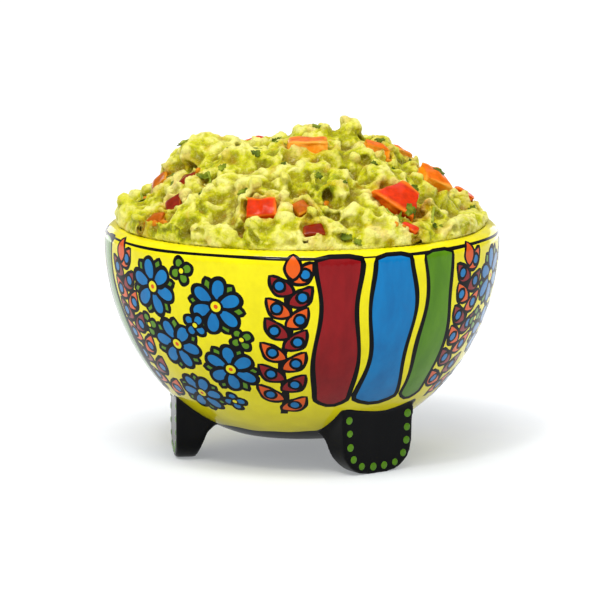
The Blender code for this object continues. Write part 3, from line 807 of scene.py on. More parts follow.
def big_lumps():
    """Every lump that the solids have too, as its middle, its three radii and its seed."""
    for i, (x, y, *radii, depth) in enumerate(MAIN_LUMPS):
        yield Vector((x, y, dome_height(x, y) - depth)), Vector(radii), i
    draw = random.Random(LUMP_SEED)
    for i in range(LUMP_COUNT):
        reach = math.sqrt((i + 0.5) / LUMP_COUNT) * (MOUND_RADIUS - 3)
        angle = i * GOLDEN_ANGLE + draw.uniform(-0.3, 0.3)
        size = draw.uniform(*LUMP_RADII)
        radii = Vector([size * draw.uniform(0.7, 1.25) for _ in range(3)])
        depth = draw.uniform(*LUMP_DEPTHS) * size
        reach = min(reach, OVERHANG - 0.4 - max(radii))
        x, y = reach * math.cos(angle), reach * math.sin(angle)
        middle = Vector((x, y, dome_height(x, y))) - dome_normal(x, y) * depth
        yield middle, radii, len(MAIN_LUMPS) + i
    for i in range(EDGE_COUNT):
        angle = 2 * math.pi * (i + draw.uniform(-0.3, 0.3)) / EDGE_COUNT
        size = draw.uniform(*EDGE_RADII)
        radii = Vector([size * draw.uniform(0.75, 1.15) for _ in range(3)])
        reach = OVERHANG - draw.uniform(0.4, 2.0) - max(radii[:2])
        height = MOUND_EDGE + draw.uniform(-1.5, 2.0)
        middle = Vector((reach * math.cos(angle), reach * math.sin(angle), height))
        yield middle, radii, len(MAIN_LUMPS) + LUMP_COUNT + i


def point_tree(points):
    tree = KDTree(len(points))
    for i, point in enumerate(points):
        tree.insert(point, i)
    tree.balance()
    return tree


def ball(subdivisions):
    bm = bmesh.new()
    bmesh.ops.create_icosphere(bm, subdivisions=subdivisions, radius=1.0)
    verts = np.array([v.co[:] for v in bm.verts])
    faces = np.array([[v.index for v in f.verts] for f in bm.faces])
    bm.free()
    return verts, faces


def lump_swell(spot, seed):
    """How far the skin of a lump stands out at a spot of the unit ball: blunt corners and noise."""
    power = 2.2 + 0.5 * (seed % 3)
    blunt = sum(abs(c) ** power for c in spot) ** (-1 / power)
    broad = noise.noise(spot * 1.6 + Vector((seed, 0, 0)))
    fine = noise.noise(spot * 3.6 + Vector((seed, 50, 0)))
    return blunt * (1 + 0.26 * broad + 0.16 * fine)


def big_lump_mesh():
    """The big lumps as arrays: balls whose skin is pushed in and out."""
    unit, faces = ball(3)
    all_verts, all_faces = [], []
    for middle, radii, seed in big_lumps():
        turn = Matrix.Rotation(seed * GOLDEN_ANGLE, 3, "Z") if max(radii) < 8 else Matrix.Identity(3)
        swell = np.array([lump_swell(Vector(p), seed) for p in unit])
        shaped = (unit * np.array(radii) * swell[:, None]) @ np.array(turn).T + np.array(middle)
        all_faces.append(faces + len(unit) * len(all_verts))
        all_verts.append(shaped)
    return np.concatenate(all_verts), np.concatenate(all_faces).tolist()


def mound_core_profile(low):
    rings = 24
    radii = [MOUND_RADIUS * (1 - i / rings) for i in range(rings + 1)]
    return [(0, low), (MOUND_RADIUS, low)] + [(r, dome_height(r, 0)) for r in radii]


def join_arrays(name, *parts):
    verts, faces, count = [], [], 0
    for v, f in parts:
        verts.append(v)
        faces += [[i + count for i in face] for face in f]
        count += len(v)
    mesh = bpy.data.meshes.new(name)
    mesh.from_pydata((np.concatenate(verts) * MM).tolist(), [], faces)
    return object_from_mesh(name, mesh)


def bmesh_arrays(bm):
    verts = np.array([v.co[:] for v in bm.verts]) / MM
    bm.verts.index_update()
    faces = [[v.index for v in f.verts] for f in bm.faces]
    bm.free()
    return verts, faces


def surface_tree(obj):
    bm = bmesh.new()
    bm.from_mesh(obj.data)
    tree = BVHTree.FromBMesh(bm)
    bm.free()
    return tree


def drop_on(tree, x, y):
    """Where a line down the dome's normal first meets the mound: point in millimetres, and normal."""
    up = dome_normal(x, y)
    start = Vector((x, y, dome_height(x, y))) + up * 20
    point, normal, _, _ = tree.ray_cast(start * MM, -up)
    return (point / MM, normal) if point else (None, None)


def spiral(count, reach, draw, jitter):
    for i in range(count):
        r = min(reach, math.sqrt((i + 0.5) / count) * reach + draw.uniform(-jitter, jitter))
        angle = i * GOLDEN_ANGLE + draw.uniform(-0.3, 0.3)
        yield max(0.0, r) * math.cos(angle), max(0.0, r) * math.sin(angle)


def over_tomato(place, size):
    """Whether a crumb would lie on the open top of a piece of tomato."""
    for frame_back, half in TOMATO_FRAMES:
        local = frame_back @ place
        if abs(local.x) < half[0] + 0.4 * size and abs(local.y) < half[1] + 0.4 * size:
            if local.z > half[2] * 0.2:
                return True
    return False


def small_lump_mesh(tree, count, sizes, seed, boxy=(2.0, 4.0)):
    """Crumbs of avocado bedded in the surface, as arrays."""
    draw = random.Random(seed)
    unit, faces = ball(2)
    all_verts, all_faces, centres = [], [], []
    for x, y in spiral(count, MOUND_RADIUS + 0.6, draw, 1.5):
        clump = noise.noise(Vector((x, y, 0)) * 0.11 + Vector((seed, 3, 0)))
        if clump * 1.6 < draw.uniform(-0.55, 0.25):
            continue
        point, normal = drop_on(tree, x, y)
        if point is None:
            continue
        low, high = sizes
        size = low + (high - low) * draw.random() ** 2.2
        power = draw.uniform(*boxy)
        norm = (np.abs(unit) ** power).sum(axis=1) ** (-1 / power)
        radii = np.array([size * draw.uniform(0.7, 1.35) for _ in range(3)])
        waves = np.array([[draw.gauss(0, 1.5) for _ in range(3)] for _ in range(3)])
        phases = np.array([draw.uniform(0, 6.28) for _ in range(3)])
        swell = 1 + 0.07 * np.sin(unit @ waves.T + phases).sum(axis=1)
        turn = np.array(Euler([draw.uniform(0, 6.28) for _ in range(3)]).to_matrix())
        middle = point + normal * size * draw.uniform(-0.75, 0.0)
        if over_tomato(middle, size):
            continue
        room = OVERHANG - math.hypot(middle.x, middle.y) - size
        if room < 0:
            middle.xy *= (OVERHANG - size) / math.hypot(middle.x, middle.y)
        shaped = (unit * (norm * swell)[:, None] * radii) @ turn.T + np.array(middle)
        all_faces.append(faces + len(unit) * len(all_verts))
        all_verts.append(shaped)
        centres.append((*middle, size))
    return np.concatenate(all_verts), np.concatenate(all_faces).tolist(), np.array(centres)


def guacamole_mound():
    """The mound, and where its small lumps lie with their sizes."""
    core = bmesh_arrays(lathe(mound_core_profile(CORE_LOW), 96))
    lumps = big_lump_mesh()
    rough = join_arrays("rough", core, lumps)
    remesh(rough, 0.9 * MM)
    calm_down(rough.data)
    break_up(rough.data)
    tree = surface_tree(rough)
    torn = mesh_arrays(rough.data)
    bpy.data.objects.remove(rough)
    middle_size = small_lump_mesh(tree, 300, (1.5, 3.2), 21)
    fine = small_lump_mesh(tree, 800, (0.7, 1.5), 22, (2.0, 3.0))
    mound = join_arrays("guacamole_mound", torn, middle_size[:2], fine[:2])
    remesh(mound, (0.69) * MM)
    soften(mound, 1)
    hold_in(mound.data, 0.9)
    crumble(mound.data)
    hold_in(mound.data, 0.0)
    return mound, np.concatenate([middle_size[2], fine[2]])


def calm_down(mesh):
    """Melts some stretches of the surface together and leaves the lumps between them as they are."""
    co = vertex_array(mesh) / MM
    edges, count = neighbours(mesh)
    share = np.array([noise.noise(Vector(p) * 0.055 + Vector((4, 9, 0))) for p in co])
    share = (np.clip(0.25 + 1.9 * share, 0, 1) * np.clip((co[:, 2] - FREE_HEIGHT) / 2.0, 0, 1))[:, None]
    for _ in range(CALM_ROUNDS):
        co = co + (neighbours_mean(co, edges, count) - co) * share
    free = np.clip((co[:, 2] - FREE_HEIGHT) / 4.0, 0, 1)
    for x, y, width, rise in DENTS:
        away = ((co[:, 0] - x) ** 2 + (co[:, 1] - y) ** 2) / width**2
        co[:, 2] += rise * free * np.exp(-away)
    co[:, 2] -= FLANK_FALL * free * np.clip((co[:, 0] - 34) / 14, 0, 1)
    move_vertices(mesh, co)


def break_up(mesh):
    """Gives patches of the surface a height and slope of their own, with creases between them."""
    co = vertex_array(mesh) / MM
    normals = vertex_array(mesh, "normal")
    room = np.clip((OVERHANG - 0.6 - np.hypot(co[:, 0], co[:, 1])) / 3.0, 0, 1)
    room *= np.clip((co[:, 2] - FREE_HEIGHT) / 2.0, 0, 1)
    for i, p in enumerate(co):
        if room[i] == 0:
            continue
        q = Vector(p)
        bent = (q + noise.noise_vector(q * 0.2) * 2.6) * 0.14
        distances, spots = noise.voronoi(bent)
        chance = noise.cell(spots[0] * 91.7)
        lean = noise.cell_vector(spots[0] * 57.3)
        lean = lean - Vector((0.5, 0.5, 0.5))
        slope = (bent - spots[0]).dot(lean) * 2.6
        crease = max(0.0, 1 - (distances[1] - distances[0]) * 5)
        push = (chance - 0.55) * 1.3 + slope - 0.35 * crease
        co[i] += normals[i] * push * room[i]
    move_vertices(mesh, bed_tomatoes(co))


def bed_tomatoes(co):
    """Presses the mash down under each piece of tomato and heaps it unevenly round its sides."""
    for index, (back, half) in enumerate(TOMATO_FRAMES):
        matrix, forward = np.array(back), np.array(back.inverted())
        local = co @ matrix[:3, :3].T + matrix[:3, 3]
        out = np.maximum(np.abs(local[:, 0]) - half[0], np.abs(local[:, 1]) - half[1])
        for i in np.nonzero((out < 5.0) & (local[:, 2] > -14))[0]:
            uneven = noise.noise(Vector(co[i]) * 0.30 + Vector((index * 7, 0, 0)))
            heap = half[2] * (TOMATO_COVER[index] + 1.1 * uneven)
            share = math.exp(-(((out[i] - 0.6) / 2.0) ** 2))
            if out[i] < -0.6:
                local[i, 2] = min(local[i, 2], half[2] - 1.2 + out[i] * 0.3)
            elif local[i, 2] < heap:
                local[i, 2] += (heap - local[i, 2]) * share
        moved = out < 5.0
        co[moved] = (local @ forward[:3, :3].T + forward[:3, 3])[moved]
    return co


def hold_in(mesh, give):
    """Holds the mash inside the wall and short of the rim's edge, unevenly by up to give above it."""
    co = vertex_array(mesh) / MM
    heights = np.append(HEIGHT_AT[~OUTER], RIM + 0.7)
    limit = np.interp(co[:, 2], heights, np.append(RADIUS_AT[~OUTER] - 0.12, OVERHANG))
    reach = np.hypot(co[:, 0], co[:, 1])
    for i in np.nonzero((reach > limit - give) & (co[:, 2] > RIM + 0.7))[0]:
        limit[i] -= give * min(1.0, max(0.0, 0.5 + 1.2 * noise.noise(Vector(co[i]) * 0.35)))
    shrink = np.minimum(1.0, limit / np.maximum(reach, 1.0))
    co[:, :2] *= shrink[:, None]
    move_vertices(mesh, co)


def crumble(mesh):
    """Fine relief along the normals: grains, pits and smears, down to the mesh's own size."""
    co = vertex_array(mesh) / MM
    normals = vertex_array(mesh, "normal")
    top = np.clip((co[:, 2] - 82.5) / 1.5, 0, 1)
    push = np.empty(len(co))
    for i, p in enumerate(co):
        q = Vector(p)
        bent = q + noise.noise_vector(q * 0.35) * 1.3
        near, second = noise.voronoi(bent * 0.24)[0][:2]
        fine, fine_second = noise.voronoi(bent * 0.58 + Vector((7, 7, 7)))[0][:2]
        chunk = min(1.0, (second - near) * 2.4) - 0.6
        grain = min(1.0, (fine_second - fine) * 2.2) - 0.55
        ridge = noise.ridged_multi_fractal(q * 0.16 + Vector((3, 1, 0)), 0.9, 2.3, 3, 1.0, 2.0) - 1.1
        calm = noise.noise(q * 0.08 + Vector((9, 0, 0)))
        share = max(0.12, min(1.0, 0.5 + 1.9 * calm))
        torn = math.tanh(3.0 * noise.noise(q * 0.19 + Vector((0, 6, 2)))) * 0.45
        push[i] = share * (0.45 * chunk + 0.34 * grain) + 0.42 * ridge + torn + noise.noise(q * 0.6) * 0.25
    headroom = (CAD_BOX[1][2] / MM - 0.1 - co[:, 2]) / np.maximum(normals[:, 2], 0.2)
    push = np.minimum(push * top, headroom)
    move_vertices(mesh, co + normals * push[:, None])


def colour_mound(mesh, small_lumps):
    """How pale or green each vertex is, the painted shade of its hollows, the painted highlight of its
    raised spots, and how stained by the tomato it is.
    """
    co = vertex_array(mesh) / MM
    normals = vertex_array(mesh, "normal")
    edges, count = neighbours(mesh)
    smooth = co.copy()
    for _ in range(14):
        smooth = neighbours_mean(smooth, edges, count)
    height = ((co - smooth) * normals).sum(axis=1)
    wide = smooth.copy()
    for _ in range(40):
        wide = neighbours_mean(wide, edges, count)
    broad = ((smooth - wide) * normals).sum(axis=1)
    # Painted shade: hollows and broad dips of the mash are marked to be darkened.
    hollow_shade = np.clip(-height / 0.38, 0, 1) * 0.62 + np.clip(-broad / 0.8, 0, 1) * 0.50
    # Raised spots are marked for a painted highlight.
    ridge = np.clip(height / 0.34, 0, 1)

    draw = random.Random(4)
    tones = [draw.gauss(0, 1) for _ in small_lumps]
    piece_tree = point_tree(small_lumps[:, :3])
    tomato_places = [
        Vector((x, y, dome_height(x, y))) + dome_normal(x, y) * proud
        for x, y, *_, proud in TOMATO_PIECES
    ]
    reach = [max(a, b) / 2 for _, _, a, b, *_ in TOMATO_PIECES]

    tone = np.empty(len(co))
    blush = np.zeros(len(co))
    for i, p in enumerate(co):
        q = Vector(p)
        _, nearest, _ = piece_tree.find(q)
        wide_tone = noise.noise(q * 0.075 + Vector((0, 4, 0))) * 1.5
        mid_tone = noise.noise(q * 0.22) * 0.7
        tone[i] = wide_tone + mid_tone + 0.22 * tones[nearest]
        stain = noise.noise(q * 0.30 + Vector((2, 0, 7)))
        near = min((q - t).length - r for t, r in zip(tomato_places, reach))
        blush[i] = max(0.0, 1 - near / 3.2) * 0.6 * (0.4 + 0.9 * max(0.0, stain + 0.3))
        if noise.noise(q * 0.16 + Vector((5, 5, 5))) > 0.38:
            blush[i] = max(blush[i], 0.32)
    return tone, hollow_shade, ridge, np.clip(blush, 0, 1)


MASH_GREEN = np.array((0.200, 0.270, 0.003))
MASH_MIDDLE = np.array((0.700, 0.680, 0.004))
# Pale tone of the mash, also the colour of the painted highlight on raised spots.
MASH_PALE_AND_HIGHLIGHT = np.array((0.960, 0.900, 0.260))
# Warm brown of the painted shade in the mash's hollows.
MASH_HOLLOW_SHADE = np.array((0.17, 0.095, 0.001))
MASH_BLUSH = np.array((0.60, 0.14, 0.004))


def write_mash_colour(mesh, tone, hollow_shade, ridge, blush):
    # Painted highlight: raised spots are pushed towards the pale colour.
    share = np.clip(0.47 + 0.33 * tone + 0.40 * ridge, 0, 1)[:, None]
    low = MASH_GREEN + (MASH_MIDDLE - MASH_GREEN) * np.clip(share * 2, 0, 1)
    colour = low + (MASH_PALE_AND_HIGHLIGHT - low) * np.clip(share * 2 - 1, 0, 1)
    # Painted shade: the hollows are darkened towards the warm brown.
    colour = colour + (MASH_HOLLOW_SHADE - colour) * (0.75 * hollow_shade[:, None])
    colour = colour + (MASH_BLUSH - colour) * (0.65 * blush[:, None])
    layer = mesh.color_attributes.new("mash", "FLOAT_COLOR", "POINT")
    layer.data.foreach_set("color", np.concatenate([colour, np.ones((len(colour), 1))], axis=1).ravel())


def add_plug(mound):
    """Carries the filling down to the bowl's floor, coarse where it can't be seen."""
    depth = BELLY_HEIGHT - UNDERSIDE - FLOOR_THICK
    gap = 0.3
    curve = belly_curve(BELLY_RADIUS - WALL - gap, depth - gap, BELLY_HEIGHT - depth + gap, 12)
    curve = [p for p in curve if p[1] < PLUG_TOP - 2]
    bm = lathe(curve + [(BELLY_RADIUS - WALL - gap, PLUG_TOP), (0, PLUG_TOP)], 64)
    boolean(mound, "UNION", object_from_bmesh("plug", bm))


def mash_material():
    made, tree, shader = new_material(
        "mashed_avocado",
        Subsurface_Weight=0.14,
        Subsurface_Radius=(1.0, 0.8, 0.1),
        Subsurface_Scale=0.0010,
        Specular_IOR_Level=0.05,
        Coat_Weight=0.10,
        Coat_Roughness=0.08,
    )
    colour = add_node(tree, "Attribute", attribute_name="mash").outputs["Color"]
    speck = noise_value(tree, 1500, 2.0, 0.6)
    pale = mix(tree, remap(tree, speck, 0.50, 0.75, 0.0, 0.35), colour, (0.92, 0.87, 0.28))
    dark = noise_value(tree, 900, 3.0, 0.6)
    final = mix(tree, remap(tree, dark, 0.52, 0.72, 0.0, 0.40), pale, (0.36, 0.37, 0.010))
    tree.links.new(final, shader.inputs["Base Color"])
    wet = noise_value(tree, 420, 3.0, 0.55)
    tree.links.new(remap(tree, wet, 0.35, 0.65, 0.22, 0.52), shader.inputs["Roughness"])
    coarse = bump(tree, noise_value(tree, 800, 4.0, 0.65), 0.0011, 1.0)
    fine = bump(tree, noise_value(tree, 2400, 3.0, 0.6), 0.0003, 1.0, coarse)
    tree.links.new(fine, shader.inputs["Normal"])
    return made


# Tomato


def tomato_frame(x, y, turn, lean, proud):
    up = dome_normal(x, y)
    tilt = Vector((0, 0, 1)).rotation_difference(up).to_matrix().to_4x4()
    spin = Matrix.Rotation(math.radians(turn), 4, "Z") @ Matrix.Rotation(math.radians(lean), 4, "X")
    return Matrix.Translation(Vector((x, y, dome_height(x, y))) + up * proud) @ tilt @ spin


def tomato_piece(index, materials):
    """A dice of tomato: swollen skin on its upper side, wet cut flesh round it."""
    x, y, *size, turn, lean, taper, proud = TOMATO_PIECES[index]
    draw = random.Random(index)
    bm = bmesh.new()
    bmesh.ops.create_cube(bm, size=2.0)
    for vert in bm.verts:
        end = 1 - taper if vert.co.y > 0 else 1.0
        half = [s / 2 * draw.uniform(0.80, 1.05) for s in size]
        half[0] *= end
        vert.co = Vector(c * h for c, h in zip(vert.co, half))
    skin = max(bm.faces, key=lambda face: face.calc_center_median().z)
    middle = bmesh.ops.poke(bm, faces=[skin])["verts"][0]
    middle.co.z += TOMATO_BULGE * size[2]
    bm.transform(Matrix.Scale(MM, 4))
    piece = object_from_bmesh(f"tomato_{index + 1:02d}_dice", bm)
    remesh(piece, (0.42) * MM)
    soften(piece, 30)
    mesh = piece.data
    co = vertex_array(mesh) / MM
    normals = vertex_array(mesh, "normal")
    facing = normals[:, 2]
    rise = np.interp(co[:, 2], [-size[2] / 2, size[2] / 2], [0, 1])
    skin_share = np.clip((facing - 0.35) / 0.35, 0, 1) * np.clip((rise - 0.55) / 0.2, 0, 1)
    share_out = np.sort(np.abs(co) / (np.array(size) / 2), axis=1)
    edge_share = np.clip((share_out[:, 1] - 0.66) / 0.22, 0, 1)
    push = np.empty(len(co))
    for i, p in enumerate(co):
        q = Vector(p) + Vector((index * 13, 0, 0))
        wet = noise.noise(q * 0.9) * 0.14 + noise.noise(q * 2.2) * 0.05
        push[i] = noise.noise(q * 0.22) * 0.9 + wet * (1 - 0.8 * skin_share[i])
    dish = 0.5 * (1 - edge_share) * (1 - skin_share)
    co = co + normals * (push - 0.1 - dish)[:, None]
    place = np.array(tomato_frame(x, y, turn, lean, proud))
    move_vertices(mesh, co @ place[:3, :3].T + place[:3, 3])
    for name, values in (("skin", skin_share), ("edge", edge_share)):
        layer = mesh.attributes.new(name, "FLOAT", "POINT")
        layer.data.foreach_set("value", values)
    mesh.materials.clear()
    mesh.materials.append(materials[TOMATO_TONES[index]])
    return finish_piece(piece, "tomato", f"tomato_{index + 1:02d}")


def tomato_material(name, skin, flesh, pale):
    made, tree, shader = new_material(
        name,
        Subsurface_Weight=0.12,
        Subsurface_Radius=(1.0, 0.25, 0.08),
        Subsurface_Scale=0.0012,
        Roughness=0.25,
        Specular_IOR_Level=0.05,
        Coat_Weight=0.14,
        Coat_Roughness=0.04,
    )
    skin_share = add_node(tree, "Attribute", attribute_name="skin").outputs["Fac"]
    edge = add_node(tree, "Attribute", attribute_name="edge").outputs["Fac"]
    veins = noise_value(tree, 260, 3.0, 0.6, distortion=0.6)
    cut = mix(tree, remap(tree, veins, 0.46, 0.72, 0.0, 1.0), flesh, pale)
    rim = mix(tree, remap(tree, edge, 0.2, 1.0, 0.0, 0.75), cut, pale)
    mottle = remap(tree, noise_value(tree, 500, 2.0), 0.35, 0.65, 0.0, 1.0)
    middle = mix(tree, mottle, skin, tuple(0.75 * c for c in skin))
    outer = mix(tree, remap(tree, edge, 0.0, 1.0, 0.0, 0.7), middle, pale)
    tree.links.new(mix(tree, skin_share, rim, outer), shader.inputs["Base Color"])
    wet = bump(tree, noise_value(tree, 1100, 3.0, 0.6), 0.0002, 0.5)
    tree.links.new(wet, shader.inputs["Normal"])
    return made


TOMATO_FRAMES = [
    (tomato_frame(x, y, turn, lean, proud).inverted(), [s / 2 for s in size])
    for x, y, *size, turn, lean, taper, proud in TOMATO_PIECES
]


# Coriander and crumbs of tomato


class Heap:
    """Collects loose bits that lie on the food, as one mesh."""

    def __init__(self, *under):
        bm = bmesh.new()
        for obj in under:
            bm.from_mesh(obj.data)
        self.tree = BVHTree.FromBMesh(bm)
        bm.free()
        self.verts, self.faces = [], []

    def height(self, start, up):
        point, _, _, _ = self.tree.ray_cast(start * MM, -up)
        return (point / MM) if point else None

    def add(self, verts, faces):
        count = len(self.verts)
        self.verts += [Vector(v) for v in verts]
        self.faces += [[i + count for i in face] for face in faces]

    def make(self, name, materials):
        bm = bmesh.new()
        made = [bm.verts.new(v * MM) for v in self.verts]
        for face in self.faces:
            bm.faces.new([made[i] for i in face])
        bmesh.ops.recalc_face_normals(bm, faces=bm.faces)
        return object_from_bmesh(name, bm, materials)


def tangents(up, turn):
    side = up.cross(Vector((0.3, 1, 0))).normalized()
    side.rotate(Matrix.Rotation(turn, 3, up))
    return side, up.cross(side)


def leaf_bit(heap, x, y, length, draw):
    """A lobed shred of leaf draped over what lies under it, with one edge curled up."""
    up = dome_normal(x, y)
    side, ahead = tangents(up, draw.uniform(0, 6.28))
    base = Vector((x, y, dome_height(x, y)))
    middle = heap.height(base + up * 20, up)
    if middle is None or math.hypot(middle.x, middle.y) > OVERHANG - 1:
        return
    if middle.z > CAD_BOX[1][2] / MM - 2.5:
        return
    lobes, phase, count = draw.choice((2, 3, 3, 4)), draw.uniform(0, 6.28), 30
    curl_way = draw.uniform(0, 6.28)
    curl = draw.uniform(0.1, 0.4)
    spots = [(0.0, 0.0)]
    for ring in (0.35, 0.7, 1.0):
        for k in range(count):
            t = 2 * math.pi * k / count
            reach = 0.5 + 0.5 * abs(math.cos(lobes * t / 2 + phase)) ** 0.7
            reach *= 1 + 0.12 * math.sin(9 * t + phase) * ring
            radius = length / 2 * ring * reach
            spots.append((radius * math.cos(t), radius * 0.8 * math.sin(t)))
    heights = []
    for a, b in spots:
        start = middle + side * a + ahead * b + up * 12
        hit = heap.height(start, up)
        rise = (hit - middle).dot(up) if hit else -0.3 * length
        heights.append(max(-0.3 * length, min(0.45 * length, rise)))
    mean = sum(heights) / len(heights)
    tops = []
    for (a, b), rise in zip(spots, heights):
        out = math.hypot(a, b) / (length / 2)
        toward = max(0.0, math.cos(math.atan2(b, a) - curl_way)) * out**2
        lift = 0.28 + curl * length * 0.5 * toward
        tops.append(middle + side * a + ahead * b + up * (0.6 * rise + 0.4 * mean + lift))
    verts = tops + [v - up * 0.26 for v in tops]
    total, faces = len(tops), []
    for level in range(3):
        for k in range(count):
            j = (k + 1) % count
            outer = 1 + level * count
            if level == 0:
                faces += [(0, outer + k, outer + j), (total, total + outer + j, total + outer + k)]
                continue
            inner = outer - count
            top = (inner + k, outer + k, outer + j, inner + j)
            faces += [top, tuple(total + i for i in reversed(top))]
    rim = 1 + 2 * count
    for k in range(count):
        j = (k + 1) % count
        faces.append((rim + k, total + rim + k, total + rim + j, rim + j))
    heap.add(verts, faces)


def stem_bit(heap, x, y, degrees, length, draw):
    """A thin stalk that lies on the food and bows a little."""
    up = dome_normal(x, y)
    side, ahead = tangents(up, math.radians(degrees))
    base = Vector((x, y, dome_height(x, y)))
    bow = draw.uniform(-0.15, 0.15)
    count, sides, radius = 13, 8, draw.uniform(0.5, 0.7)
    spots, rises = [], []
    for k in range(count):
        share = k / (count - 1)
        offset = side * (share - 0.5) * length + ahead * bow * length * math.sin(share * math.pi)
        hit = heap.height(base + offset + up * 20, up)
        if hit is None:
            return
        spots.append(base + offset)
        rises.append((hit - base).dot(up))
    for _ in range(3):
        inner = [(a + 2 * b + c) / 4 for a, b, c in zip(rises, rises[1:], rises[2:])]
        rises = [rises[0]] + inner + [rises[-1]]
    path = [s + up * (r + radius * 0.6) for s, r in zip(spots, rises)]
    verts, faces = [], []
    for k, spot in enumerate(path):
        along = (path[min(k + 1, count - 1)] - path[max(k - 1, 0)]).normalized()
        across = along.cross(up).normalized()
        over = across.cross(along)
        thick = radius * (1 - 0.35 * k / count)
        for i in range(sides):
            a = 2 * math.pi * i / sides
            verts.append(spot + (across * math.cos(a) + over * math.sin(a)) * thick)
    for k in range(count - 1):
        for i in range(sides):
            j = (i + 1) % sides
            faces.append((k * sides + i, k * sides + j, (k + 1) * sides + j, (k + 1) * sides + i))
    faces.append(tuple(range(sides)))
    faces.append(tuple(range((count - 1) * sides, count * sides)))
    heap.add(verts, faces)


def leaf_places():
    """Where the flecks of the solids lie, and the loose ones."""
    draw = random.Random(FLECK_SEED)
    places = list(FRONT_FLECKS)
    for i in range(FLECK_COUNT):
        reach = math.sqrt((i + 0.5) / FLECK_COUNT) * (MOUND_RADIUS - 5)
        angle = i * GOLDEN_ANGLE + draw.uniform(-0.4, 0.4)
        length = draw.uniform(*FLECK_LENGTHS)
        if reach * math.sin(angle) > FLECK_LINE:
            places.append((reach * math.cos(angle), reach * math.sin(angle), length))
    places += LOOSE_LEAVES
    for x, y in spiral(20, MOUND_RADIUS - 3, random.Random(31), 4.0):
        length = draw.uniform(1.6, 2.8)
        top = Vector((x, y, dome_height(x, y))) + dome_normal(x, y) * 5
        if not over_tomato(top, length):
            places.append((x, y, length))
    return places


def coriander(under):
    draw = random.Random(17)
    leaves = Heap(*under)
    for x, y, length in leaf_places():
        leaf_bit(leaves, x, y, length, draw)
    made, tree, shader = new_material(
        "coriander_leaf", Roughness=0.42, Specular_IOR_Level=0.06, Coat_Weight=0.05
    )
    tone = noise_value(tree, 180, 2.0)
    stops = [(0.36, (0.055, 0.085, 0.002)), (0.52, (0.120, 0.160, 0.004)), (0.70, (0.30, 0.35, 0.020))]
    green = ramp(tree, tone, stops)
    veins = noise_value(tree, 900, 2.0, 0.5, (1, 1, 1), 1.5)
    veined = mix(tree, remap(tree, veins, 0.55, 0.7, 0, 0.5), green, (0.20, 0.30, 0.05))
    tree.links.new(veined, shader.inputs["Base Color"])
    tree.links.new(bump(tree, veins, 0.0002, 0.6), shader.inputs["Normal"])
    finish_piece(leaves.make("coriander_leaves", [made]), "mashed_avocado")

    stems = Heap(*under)
    for x, y, degrees, length in STEMS:
        stem_bit(stems, x, y, degrees, length, draw)
    made, tree, shader = new_material(
        "coriander_stem", Roughness=0.3, Specular_IOR_Level=0.08, Coat_Weight=0.06
    )
    fibre = noise_value(tree, 400, 3.0)
    pale = mix(tree, remap(tree, fibre, 0.35, 0.65, 0, 1), (0.20, 0.27, 0.010), (0.40, 0.45, 0.05))
    tree.links.new(pale, shader.inputs["Base Color"])
    tree.links.new(bump(tree, fibre, 0.0002, 0.5), shader.inputs["Normal"])
    finish_piece(stems.make("coriander_stems", [made]), "mashed_avocado")


def tomato_crumbs(under, material):
    """Small torn bits of tomato pressed into the mash."""
    draw = random.Random(41)
    heap = Heap(*under)
    unit, faces = ball(2)
    wanted = [(x + draw.uniform(-7, 7), y + draw.uniform(-7, 7)) for x, y, *_ in TOMATO_PIECES]
    wanted += CRUMB_PLACES
    for x, y in wanted:
        if math.hypot(x, y) > MOUND_RADIUS - 1:
            continue
        up = dome_normal(x, y)
        spot = heap.height(Vector((x, y, dome_height(x, y))) + up * 20, up)
        if spot is None:
            continue
        size = draw.uniform(0.8, 1.9)
        radii = [size * draw.uniform(0.6, 1.2) for _ in range(3)]
        turn = Euler([draw.uniform(0, 6.28) for _ in range(3)]).to_matrix()
        shift = Vector([draw.uniform(0, 50) for _ in range(3)])
        verts = []
        for c in unit:
            power = sum(abs(v) ** 3.5 for v in c) ** (-1 / 3.5)
            swell = power * (1 + 0.25 * noise.noise(Vector(c) * 1.5 + shift))
            verts.append(spot + turn @ Vector(a * b * swell for a, b in zip(c, radii)) - up * 0.5 * size)
        heap.add(verts, faces.tolist())
    crumbs = heap.make("tomato_crumbs", [material])
    for name, value in (("skin", 0.0), ("edge", 0.3)):
        layer = crumbs.data.attributes.new(name, "FLOAT", "POINT")
        layer.data.foreach_set("value", [value] * len(crumbs.data.vertices))
    finish_piece(crumbs, "tomato")


# Stage, light and camera


